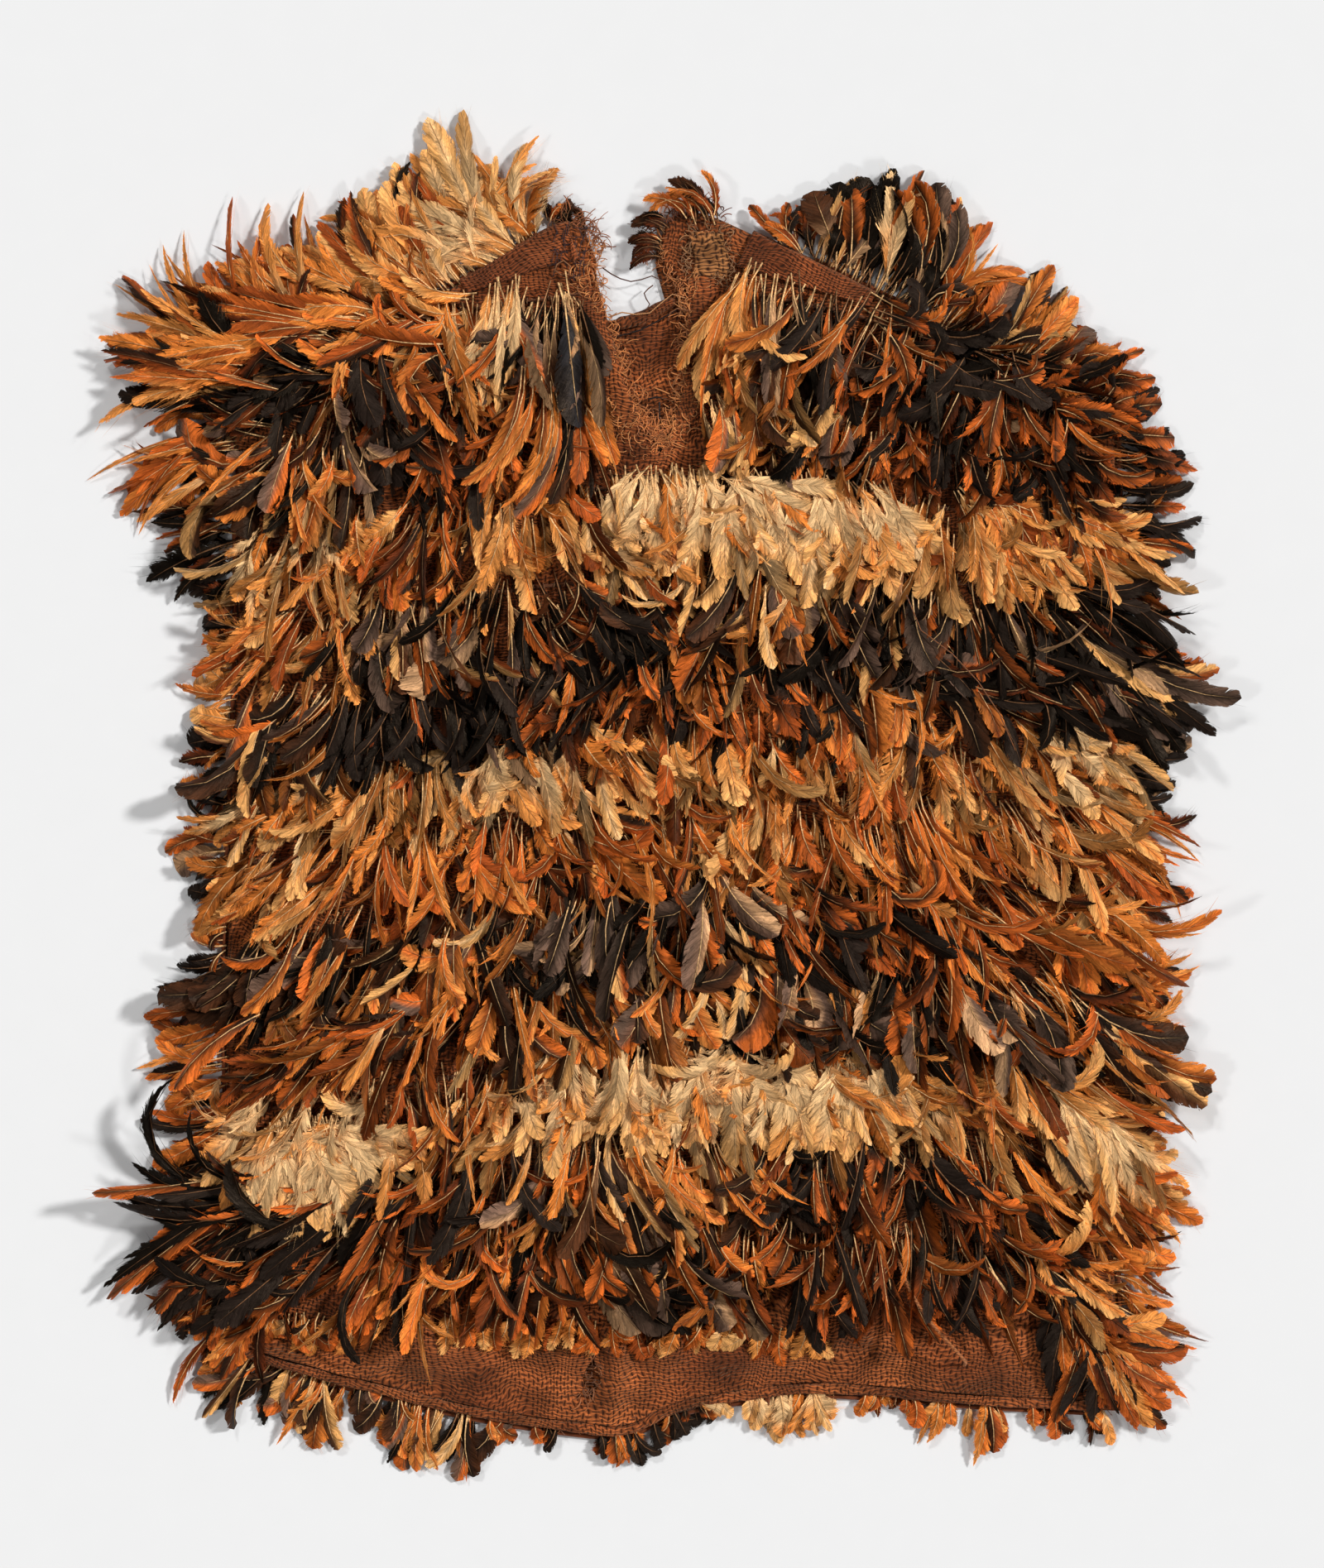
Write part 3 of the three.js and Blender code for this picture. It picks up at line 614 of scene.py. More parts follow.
class Bundle:
    """One mesh in the making, joined from many bent copies of flat patterns."""

    def __init__(self) -> None:
        """Starts with nothing in it."""
        self.points = 0
        self.places, self.colours, self.maps, self.corners, self.sizes = [], [], [], [], []

    def add(self, place: np.ndarray, colour: np.ndarray, uv: np.ndarray, faces: tuple) -> None:
        """Adds copies of one pattern.

        Args:
            place: Their points in millimetres, as copies by points by 3.
            colour: Their linear colours and a fourth value, as copies by points by 4.
            uv: The pattern's place on the map, one a point.
            faces: The pattern's faces, as faces_of gives them.
        """
        copies, count = place.shape[:2]
        corners, sizes = faces
        self.places.append(place.reshape(-1, 3))
        self.colours.append(colour.reshape(-1, 4))
        self.maps.append(np.tile(uv[corners], (copies, 1)))
        self.corners.append((corners[None] + (np.arange(copies) * count)[:, None] + self.points).ravel())
        self.sizes.append(np.tile(sizes, copies))
        self.points += copies * count

    def mesh(self, name: str) -> Piece:
        """Makes the mesh object.

        Args:
            name: The piece's name.

        Returns:
            The new object.
        """
        points, corners = np.concatenate(self.places) * MM, np.concatenate(self.corners)
        sizes = np.concatenate(self.sizes)
        starts = np.concatenate([[0], np.cumsum(sizes)[:-1]])
        mesh = bpy.data.meshes.new(name)
        mesh.vertices.add(len(points))
        mesh.vertices.foreach_set("co", points.astype(np.float32).ravel())
        mesh.loops.add(len(corners))
        mesh.loops.foreach_set("vertex_index", corners.astype(np.int32))
        mesh.polygons.add(len(sizes))
        mesh.polygons.foreach_set("loop_start", starts.astype(np.int32))
        mesh.polygons.foreach_set("loop_total", sizes.astype(np.int32))
        mesh.update(calc_edges=True)
        uv = mesh.uv_layers.new(name="Vane")
        uv.data.foreach_set("uv", np.concatenate(self.maps).astype(np.float32).ravel())
        tint = mesh.color_attributes.new(name="Plumage", type="FLOAT_COLOR", domain="POINT")
        tint.data.foreach_set("color", np.concatenate(self.colours).astype(np.float32).ravel())
        mesh.validate(clean_customdata=False)
        return placed(mesh)


def placed(mesh: bpy.types.Mesh) -> Piece:
    """Makes a smooth object of a mesh and puts it in the scene."""
    mesh.polygons.foreach_set("use_smooth", np.ones(len(mesh.polygons), bool))
    piece = bpy.data.objects.new(mesh.name, mesh)
    bpy.context.scene.collection.objects.link(piece)
    return piece


class FeatherStock:
    """The maker's sorted stock: a few different feathers of every kind."""

    def __init__(self, seed: int = 11) -> None:
        """Cuts every pattern.

        Args:
            seed: Starts the row of chances.
        """
        self.rng = np.random.default_rng(seed)
        self.patterns: dict[Shape, list[FeatherPattern]] = {}
        for cut in FEATHER_CUTS:
            self.patterns[cut.shape] = [self.cut_one(cut) for _ in range(cut.variants)]

    def cut_one(self, cut: FeatherCut) -> FeatherPattern:
        """Cuts one feather flat.

        Args:
            cut: The kind of feather.

        Returns:
            The pattern.
        """
        bm = bmesh.new()
        part = bm.verts.layers.int.new("part")
        outer = bm.verts.layers.float.new("outer")
        self.lay_vane(bm, outer, cut)
        self.lay_quill(bm, part)
        self.lay_wisps(bm, part, cut)
        rows = []
        for vert in bm.verts:
            x, y, z = vert.co
            if vert[part] == 1:
                rows.append((x, 0.0, 0.0, y, z, 1.0, 0.0))
            else:
                rows.append((x, y, z, 0.0, 0.0, float(vert[part]), vert[outer]))
        faces = faces_of(bm)
        bm.free()
        points = np.array(rows)
        grain = self.rng.random(cut.barbs + 2)
        which = np.clip((points[:, 0] * cut.barbs).astype(int), 0, cut.barbs)
        return FeatherPattern(points, faces, grain[which])

    def lay_vane(self, bm: Mesh, out: Layer, cut: FeatherCut) -> None:
        """Lays the vane: groups of barbs that lean forward and part here and there.

        Args:
            bm: The mesh to add to.
            out: The layer that says how far out a point is.
            cut: The kind of feather.
        """
        bmesh.ops.create_grid(bm, x_segments=cut.barbs, y_segments=4, size=0.5)
        for vert in bm.verts:
            vert.co = (vert.co.x + 0.5, vert.co.y * 2, 0.0)
        torn = []
        for edge in bm.edges:
            a, b = edge.verts
            inner = min(abs(a.co.y), abs(b.co.y))
            if abs(a.co.x - b.co.x) > 1e-4 or not 0.01 < a.co.x < 0.99:
                continue
            downy = a.co.x < cut.down
            parts = self.rng.random() < (1.0 if downy else cut.split) if inner > 0.25 else downy
            if parts:
                torn.append(edge)
        bmesh.ops.split_edges(bm, edges=torn)
        cell = 1 / cut.barbs
        reach = 1 + cut.ragged * (self.rng.random((cut.barbs + 1, 2)) * 2 - 1)
        lift = self.rng.normal(0, 0.10, (cut.barbs + 1, 2))
        for vert in bm.verts:
            s, v = vert.co.x, vert.co.y
            middle = sum(f.calc_center_median().x for f in vert.link_faces) / len(vert.link_faces)
            side = int(v > 0)
            group = min(int(middle / cell), cut.barbs)
            parted = np.sign(middle - s) if abs(middle - s) > 0.2 * cell and 0.01 < s < 0.99 else 0.0
            wide = float(cut.half_width(np.array(s)))
            outer = abs(v)
            gap = parted * cell * (0.16 + 0.22 * self.rng.random()) * smooth(0.3, 1.0, np.array(outer))
            along = s + gap + cut.lean * outer**1.15 * wide * min(1.0, 2.2 * (1 - s)) ** 0.6
            across = v * wide * (reach[group, side] if outer > 0.9 else 1.0)
            vert.co = (min(along, VANE_END), across, lift[group, side] * outer * outer * wide)
            vert[out] = cut.fray * outer

    def lay_quill(self, bm: Mesh, part: Layer) -> None:
        """Lays the tapering quill along the vane, with its bare end behind the binding.

        Args:
            bm: The mesh to add to.
            part: The layer that says which part a point is of.
        """
        for vert in bm.verts:
            vert.tag = True
        tube(bm, False, 3, 0.25, QUILL_RINGS)
        span = QUILL_TO - QUILL_FROM
        for vert in bm.verts:
            if vert.tag:
                continue
            x, y, z = vert.co
            vert.co = (QUILL_FROM + span * (z + 0.5), x, y + 0.5)
            vert[part] = 1

    def lay_wisps(self, bm: Mesh, part: Layer, cut: FeatherCut) -> None:
        """Lays loose single barbs past the vane's edge.

        Args:
            bm: The mesh to add to.
            part: The layer that says which part a point is of.
            cut: The kind of feather.
        """
        for k in range(cut.wisps):
            low = self.rng.random() < 0.45
            s = self.rng.uniform(0.0, 0.25) if low else self.rng.uniform(0.2, 0.98)
            side = 1 if k % 2 else -1
            wide = max(float(cut.half_width(np.array(s))), 0.3)
            reach = 1 + cut.wisp_length * self.rng.uniform(0.3, 1.0)
            lift = self.rng.normal(0, 0.25)
            start = s + cut.lean * 0.5 * wide
            end = s + (cut.lean + 0.10 + 0.08 * self.rng.random()) * reach * wide
            made = bmesh.ops.create_circle(bm, cap_ends=True, segments=3, radius=1.0)["verts"]
            places = (
                (start - WISP_THICKNESS, side * WISP_ROOT * wide, 0.0),
                (start + WISP_THICKNESS, side * WISP_ROOT * wide, 0.0),
                (min(end, WISP_END), side * reach * wide, lift * wide),
            )
            for vert, place in zip(made, places):
                vert.co = place
                vert[part] = 2


@dataclass(frozen=True)
class Plume:
    """One sort of feather in a mix: its colours and what it is picked for."""

    share: float
    body: Colour
    second: Colour
    marking: Marking
    shape: Shape
    length: float = 1.0
    width: float = 9.0
    quill: Colour = (246, 196, 136)


CREAM = (255, 206, 146)
PALE_GOLD = (248, 180, 106)
GOLD = (234, 148, 72)
AMBER = (222, 126, 52)
ORANGE = (202, 98, 36)
RUST = (154, 70, 26)
CHESTNUT = (112, 48, 18)
BROWN = (72, 40, 22)
DARK = (36, 20, 12)
SLATE = (98, 74, 60)
INK = (30, 22, 18)
BLUE_BLACK = (40, 40, 43)
BLACK = (9, 6, 4)
GREY_TAN = (188, 142, 100)
DARK_QUILL = (120, 84, 56)


class Mix(Enum):
    """Mixes of feathers, named by how a stretch of the cape looks."""

    RUSTY = (
        Plume(2.4, ORANGE, AMBER, EDGED, CONTOUR, 1.0, 8),
        Plume(2.4, AMBER, GOLD, TIPPED, HACKLE, 1.1, 6),
        Plume(2.2, RUST, ORANGE, EDGED, CONTOUR, 1.0, 8),
        Plume(1.6, CHESTNUT, ORANGE, EDGED, HACKLE, 1.0, 6),
        Plume(1.5, DARK, RUST, HALVED, CONTOUR, 0.95, 9),
        Plume(1.0, BLACK, CHESTNUT, EDGED, CURLED, 0.9, 8, DARK_QUILL),
        Plume(0.6, GOLD, CREAM, BASED, CONTOUR, 0.95, 8),
        Plume(1.4, AMBER, GOLD, PLAIN, DOWNY, 0.7, 9),
    )
    GOLDEN = (
        Plume(2.6, GOLD, PALE_GOLD, TIPPED, CONTOUR, 0.95, 9),
        Plume(2, AMBER, PALE_GOLD, EDGED, CONTOUR, 1.0, 8),
        Plume(2.5, GOLD, PALE_GOLD, BASED, DOWNY, 0.8, 11),
        Plume(1.4, ORANGE, GOLD, EDGED, HACKLE, 1.0, 7),
        Plume(0.9, RUST, AMBER, PLAIN, CONTOUR, 0.9, 8),
        Plume(1.6, AMBER, GOLD, PLAIN, DOWNY, 0.8, 11),
        Plume(0.7, DARK, RUST, HALVED, CURLED, 0.9, 8, DARK_QUILL),
    )
    CREAMY = (
        Plume(2.6, CREAM, PALE_GOLD, TIPPED, CONTOUR, 0.95, 9),
        Plume(2.4, PALE_GOLD, CREAM, SHAFTED, CONTOUR, 0.95, 9),
        Plume(2.6, CREAM, GOLD, TIPPED, DOWNY, 0.8, 11),
        Plume(1.6, GOLD, CREAM, BASED, CONTOUR, 1.0, 8),
        Plume(1.5, AMBER, PALE_GOLD, PLAIN, DOWNY, 0.8, 11),
        Plume(0.6, RUST, AMBER, PLAIN, HACKLE, 0.9, 7),
    )
    FLUFFY = (
        Plume(2.6, AMBER, PALE_GOLD, TIPPED, DOWNY, 0.85, 11),
        Plume(1.8, GOLD, PALE_GOLD, PLAIN, DOWNY, 0.9, 11),
        Plume(2.2, ORANGE, AMBER, PLAIN, DOWNY, 0.9, 11),
        Plume(0.9, PALE_GOLD, CREAM, BASED, CONTOUR, 0.8, 8),
        Plume(1.4, AMBER, GOLD, TIPPED, HACKLE, 0.9, 7),
        Plume(0.9, RUST, ORANGE, PLAIN, DOWNY, 0.9, 10),
    )
    SLATY = (
        Plume(2.0, SLATE, GREY_TAN, HALVED, BROAD, 1.0, 13),
        Plume(3, INK, SLATE, EDGED, BROAD, 1.0, 13),
        Plume(2.2, BLACK, ORANGE, EDGED, CONTOUR, 1.0, 9),
        Plume(2.2, BLACK, DARK, PLAIN, CONTOUR, 1.0, 9, DARK_QUILL),
        Plume(1.0, BROWN, GREY_TAN, BASED, BROAD, 1.0, 12),
        Plume(1.1, RUST, PALE_GOLD, HALVED, CONTOUR, 1.0, 8),
        Plume(0.4, GOLD, CREAM, BASED, CONTOUR, 0.9, 7),
    )
    BLACKISH = (
        Plume(4, BLACK, DARK, PLAIN, CURLED, 0.9, 9, DARK_QUILL),
        Plume(3, INK, BLACK, PLAIN, CONTOUR, 1.0, 9, DARK_QUILL),
        Plume(1.8, DARK, CHESTNUT, EDGED, CURLED, 0.9, 8),
        Plume(1.0, BROWN, ORANGE, EDGED, CONTOUR, 0.9, 8),
        Plume(0.7, RUST, ORANGE, PLAIN, CURLED, 0.8, 7),
        Plume(0.5, SLATE, GREY_TAN, HALVED, BROAD, 1.0, 12),
    )
    EMBERS = (
        Plume(3, BLACK, RUST, TIPPED, CURLED, 0.9, 8, DARK_QUILL),
        Plume(2, DARK, ORANGE, EDGED, CONTOUR, 0.95, 9),
        Plume(1.8, CHESTNUT, ORANGE, TIPPED, CURLED, 0.9, 8),
        Plume(1.2, ORANGE, AMBER, EDGED, HACKLE, 1.0, 6),
        Plume(2.2, INK, BLACK, PLAIN, CONTOUR, 1.0, 9, DARK_QUILL),
    )
    MOTTLED = (
        Plume(2.2, CHESTNUT, AMBER, EDGED, CONTOUR, 1.0, 9),
        Plume(1.8, SLATE, ORANGE, HALVED, BROAD, 1.0, 13),
        Plume(1.6, ORANGE, GOLD, EDGED, CONTOUR, 1.0, 8),
        Plume(2.2, INK, BROWN, EDGED, BROAD, 1.0, 12),
        Plume(1.2, BROWN, PALE_GOLD, HALVED, CONTOUR, 1.0, 9),
        Plume(1.4, AMBER, ORANGE, PLAIN, HACKLE, 1.05, 6),
        Plume(0.5, PALE_GOLD, CREAM, SHAFTED, CONTOUR, 1.0, 8),
        Plume(1.8, BLACK, DARK, PLAIN, CURLED, 0.95, 8, DARK_QUILL),
    )
    SOOTY = (
        Plume(3, BLACK, BROWN, TIPPED, DOWNY, 1.0, 6, DARK_QUILL),
        Plume(1.5, DARK, CHESTNUT, EDGED, HACKLE, 1.1, 4, DARK_QUILL),
        Plume(1.2, RUST, AMBER, TIPPED, DOWNY, 0.9, 6),
    )
    SINGLE_INK = (Plume(1, BLUE_BLACK, INK, EDGED, BROAD, 1.0, 13),)
    SINGLE_CREAM = (
        Plume(2, CREAM, PALE_GOLD, TIPPED, CONTOUR, 1.0, 10),
        Plume(1, CREAM, GOLD, BASED, DOWNY, 1.0, 12),
    )


RUSTY, GOLDEN, CREAMY, FLUFFY, SLATY, BLACKISH, EMBERS, MOTTLED, SOOTY, SINGLE_INK, SINGLE_CREAM = Mix


@dataclass
class Lay:
    """Many feathers laid out, before they become one mesh: by each fact, its value a feather."""

    facts: dict[str, list] = field(default_factory=dict)

    def add(self, **facts: object) -> None:
        """Adds one feather by its facts."""
        for key, value in facts.items():
            self.facts.setdefault(key, []).append(value)


SHAPING_FACTS = ("heading", "length", "width", "bend", "rise", "arch", "roll", "twist", "cup")
STATIONS = 12
QUILL_RADIUS = 0.68
PRESSED_FROM = 38.0
PRESSED_BY = 6.0
BRIGHTEST = 0.86


class Quiver:
    """Turns feathers that are laid out into one joined mesh."""

    def __init__(self, stock: FeatherStock, seed: int, ground: Callable) -> None:
        """Keeps the stock.

        Args:
            stock: The feathers to pick from.
            seed: Starts the row of chances.
            ground: A function of x and y that gives the height a feather lies on.
        """
        self.stock = stock
        self.rng = np.random.default_rng(seed)
        self.ground = ground

    def mesh(self, name: str, lay: Lay) -> Piece:
        """Makes the joined mesh.

        Args:
            name: The piece's name.
            lay: The feathers.

        Returns:
            The new object.
        """
        groups: dict[tuple[Shape, int], list[int]] = {}
        for k, plume in enumerate(lay.facts["plume"]):
            variant = int(self.rng.integers(len(self.stock.patterns[plume.shape])))
            groups.setdefault((plume.shape, variant), []).append(k)
        bundle = Bundle()
        for (shape, variant), chosen in groups.items():
            pattern = self.stock.patterns[shape][variant]
            uv = np.stack([pattern.points[:, 0], pattern.points[:, 1] * 0.5 + 0.5], -1)
            place = self.place(pattern, lay, chosen)
            bundle.add(place, self.colour(pattern, lay, chosen), uv, pattern.faces)
        return bundle.mesh(name)

    def place(self, pattern: FeatherPattern, lay: Lay, chosen: list[int]) -> np.ndarray:
        """Bends one pattern into every feather that uses it.

        Args:
            pattern: The flat feather.
            lay: The feathers.
            chosen: Which of them use this pattern.

        Returns:
            The points, as an array of feathers by points by 3.
        """
        root = np.array([lay.facts["root"][k] for k in chosen], float)
        heading, length, width, bend, rise, arch, roll, twist, cup = (
            np.array([lay.facts[key][k] for k in chosen], float)[:, None] for key in SHAPING_FACTS
        )
        n = len(chosen)
        t = np.linspace(-0.1, 1.1, STATIONS + 1)[None]
        swing = heading + bend * (t + 0.35 * t * np.abs(t))
        step = length * (t[0, 1] - t[0, 0])
        direction = np.stack([np.cos(swing), np.sin(swing)], -1)
        middle = (direction[:, 1:] + direction[:, :-1]) / 2 * step[..., None]
        plan = np.concatenate([np.zeros((n, 1, 2)), np.cumsum(middle, 1)], 1)
        plan = plan - plan[:, 1:2]
        line = plan + root[:, None, :2]
        reach = length * t
        up = rise * reach - LOCK_DROOP * reach * np.abs(reach)
        up = up + arch * np.sin(np.pi * np.clip(t, -0.1, 1.1))
        height = self.ground(line[..., 0], line[..., 1]) + root[:, None, 2] + up
        spine = np.concatenate([line, height[..., None]], -1)
        scaled = (pattern.points[:, 0] + 0.1) / (t[0, 1] - t[0, 0])
        low = np.clip(np.floor(scaled).astype(int), 0, STATIONS - 1)
        part = np.clip(scaled - low, 0, 1)[None, :, None]
        here = spine[:, low] * (1 - part) + spine[:, low + 1] * part
        tangent = unit(spine[:, low + 1] - spine[:, low])
        side = unit(np.stack([-tangent[..., 1], tangent[..., 0], np.zeros(tangent.shape[:2])], -1))
        normal = np.cross(tangent, side)
        s = pattern.points[None, :, 0]
        turn = roll + twist * s
        cos, sin = np.cos(turn)[..., None], np.sin(turn)[..., None]
        side, normal = side * cos + normal * sin, normal * cos - side * sin
        wide = width
        v, w = pattern.points[None, :, 1], pattern.points[None, :, 2]
        qv, qw = pattern.points[None, :, 3], pattern.points[None, :, 4]
        cupped = cup * v * v
        quill = QUILL_RADIUS * (0.75 + 0.05 * width)
        across = (v * wide + qv * quill)[..., None]
        lift = ((w - cupped) * wide + qw * quill)[..., None]
        made = here + side * across + normal * lift
        over = np.maximum(made[..., 2] - PRESSED_FROM, 0) / PRESSED_BY
        pressed = np.minimum(made[..., 2], PRESSED_FROM) + PRESSED_BY * np.tanh(over)
        made[..., 2] = np.maximum(pressed, LOWEST_POINT)
        return made

    def colour(self, pattern: FeatherPattern, lay: Lay, chosen: list[int]) -> np.ndarray:
        """Colours one pattern for every feather that uses it.

        Args:
            pattern: The flat feather.
            lay: The feathers.
            chosen: Which of them use this pattern.

        Returns:
            The colours and how far out each point is, as an array of feathers by points by 4.
        """
        s, v, part = pattern.points[:, 0], pattern.points[:, 1], pattern.points[:, 5]
        edge = np.abs(v)
        nothing = np.zeros_like(s)
        masks = {
            PLAIN: nothing,
            TIPPED: smooth(0.55, 0.95, s + 0.15 * edge),
            EDGED: smooth(0.35, 0.85, edge + 0.25 * s),
            HALVED: smooth(-0.05, 0.2, v),
            BASED: 1 - smooth(0.1, 0.6, s),
            SHAFTED: 1 - smooth(0.0, 0.5, edge),
        }
        made = np.empty((len(chosen), len(s), 4))
        made[..., 3] = pattern.points[:, 6]
        # Darker toward the root: partly the darker down of a real feather's base, partly painted shade where
        # the row above covers the roots
        depth = (0.42 + 0.58 * smooth(0.0, 0.38, s))[:, None]
        for i, k in enumerate(chosen):
            plume, glow = lay.facts["plume"][k], lay.facts["glow"][k]
            body, second, shaft = linear(plume.body), linear(plume.second), linear(plume.quill)
            flipped = self.rng.random() < 0.5 and plume.marking is HALVED
            mask = 1 - masks[plume.marking] if flipped else masks[plume.marking]
            shift = 1 + 0.22 * (np.roll(pattern.grain, int(self.rng.integers(7))) - 0.5)
            tone = body * (1 - mask[:, None]) + second * mask[:, None]
            # Times glow, which holds the painted layer shading, and depth, the darker root that is partly
            # painted shade
            tone = tone * shift[:, None] * glow * depth
            tone = tone * np.minimum(1, BRIGHTEST / np.maximum(tone.max(axis=1, keepdims=True), 0.01))
            fade = smooth(0.55, 1.0, s)[:, None]
            # The quill keeps its own pale colour and takes less of the painted layer shade
            quill = (shaft * (1 - fade) + body * 0.8 * fade) * min(glow + 0.3, BRIGHTEST / shaft.max())
            made[i, :, :3] = np.clip(np.where((part == 1)[:, None], quill, tone), 0.001, 0.95)
        return made


def settle(piece: Piece, finish: Material, slot: str, *nodes: str) -> Piece:
    """Dresses a piece, hangs it on the body and hides the solids that it replaces.

    Args:
        piece: The object.
        finish: Its material.
        slot: The record's material slot; not used.
        nodes: The solids that it replaces.

    Returns:
        The object.
    """
    piece.data.materials.clear()
    piece.data.materials.append(finish)
    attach(piece, BODY)
    if nodes:
        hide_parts(*nodes)
    triangles = sum(len(p.vertices) - 2 for p in piece.data.polygons)
    LOG.info("%s: %d triangles", piece.name, triangles)
    return piece


# ---- Feather rows ----


LARGE_SHARE = 0.16
LARGE_SIZE = 1.5
TIER_STEP = 1.5
# Painted shading by layer: the lower layers of feathers are darkened as painted shade for the shade under the
# layers above, and the top layer is lightened a little as painted light
TIER_PAINTED_SHADING = (0.34, 0.72, 1.02, 1.16)
# How far the feathers of a row sway together, in degrees, and how often along the row
SWAYS = ((12, 9), (9, 23), (6, 51))


@dataclass(frozen=True)
class FrontRow:
    """A cord across the front with feathers knotted on it."""

    name: str
    slot: str
    left: float
    right: float
    y_left: float
    y_middle: float
    y_right: float
    long_left: float
    long_middle: float
    long_right: float
    turn_left: float
    turn_right: float
    feathers: int
    mixes: tuple[tuple[float, Mix], ...]
    keep: Spot = (-1000.0, 1000.0)
    crown: tuple[float, float, int, float, float, float] | None = None
    thin: Spot = (0.0, 0.0)

    def path(self, x: Measure) -> np.ndarray:
        """The height up the cape of the cord at x."""
        middle = (self.left + self.right) / 2
        return curve_at(((self.left, self.y_left), (middle, self.y_middle), (self.right, self.y_right)), x)

    def lay(self, rng: Chances) -> Lay:
        """Knots the feathers on the cord.

        Args:
            rng: The row of chances.

        Returns:
            The feathers laid out.
        """
        lay = Lay()
        waves = rng.uniform(0, 2 * np.pi, 3)
        for k in range(self.feathers):
            t = float(np.clip((k + rng.uniform(0, 1)) / self.feathers, 0.0, 1.0))
            x = self.left + (self.right - self.left) * t
            if self.thin[0] < x < self.thin[1] and rng.random() < 0.8:
                continue
            tier = k % 4
            slope = float(self.path(x + 1) - self.path(x - 1)) / 2
            sway = sum(high * math.sin(often * t + wave) for (high, often), wave in zip(SWAYS, waves))
            turn = self.turn_left * (1 - t) ** 4 + self.turn_right * t**4 + sway + rng.normal(0, 9)
            long = (
                self.long_middle
                + (self.long_left - self.long_middle) * (1 - t) ** 3
                + (self.long_right - self.long_middle) * t**3
            )
            turn += math.degrees(math.atan(slope))
            self.knot(lay, rng, x, float(self.path(x)) + 3.0 * tier, tier, turn, long)
        if self.crown:
            start, end, count, turn_start, turn_end, long = self.crown
            for k in range(count):
                t = (k + rng.uniform(0, 1)) / count
                x = start + (end - start) * t
                inset = rng.uniform(3, 22)
                out = away_from_shoulder(x)
                turn = turn_start + (turn_end - turn_start) * t + rng.normal(0, 12)
                y = float(curve_at(SHOULDER_LINE, x)) - out[1] * inset
                self.knot(lay, rng, x - out[0] * inset, y, k % 4, turn, long)
        return lay

    def knot(self, lay: Lay, rng: Chances, x: float, y: float, tier: int, turn: float, long: float) -> None:
        """Knots one feather on.

        Args:
            lay: Where it goes.
            rng: The row of chances.
            x: Its root along X.
            y: Its root along Y.
            tier: Which layer it lies in, from 0.
            turn: How far it turns from straight down the cape, in degrees, plus to the right.
            long: How long such a feather is here.
        """
        plume = pick(rng, self.mixes, x + rng.normal(0, 9))
        drop = rng.uniform(4, 30) if rng.random() < 0.5 else 0.0
        length = (long - 0.7 * drop) * plume.length * rng.uniform(0.6, 1.12) * (1 - 0.06 * tier)
        bend = rng.normal(0.2 * np.sign(turn) + 0.4 * math.sin(0.031 * x + y), 0.42)
        bend = bend * (2.0 if rng.random() < 0.18 else 1.0)
        tip = x + length * math.sin(math.radians(turn) + bend * 0.6)
        if tip > self.keep[1]:
            turn, bend = turn - math.degrees((tip - self.keep[1]) / length), -abs(bend)
        elif tip < self.keep[0]:
            turn, bend = turn + math.degrees((self.keep[0] - tip) / length), abs(bend)
        lay.add(
            root=(x, y - drop + rng.normal(0, 4.0), ROOT_HEIGHT + TIER_STEP * tier + LOCK_RISE * drop * 0.6),
            heading=math.radians(-90 + turn),
            length=length,
            width=plume.width * any_width(rng),
            bend=bend,
            rise=LOCK_RISE * rng.uniform(0.6, 1.3) - 0.004 * drop,
            arch=rng.normal(1.0, 3.6),
            roll=rng.normal(0, 0.5),
            twist=rng.normal(0, 0.8),
            cup=rng.uniform(0.05, 0.8),
            plume=plume,
            # glow: a random tone times the painted shading of the feather's layer
            glow=rng.uniform(0.66, 1.6) * TIER_PAINTED_SHADING[tier],
        )


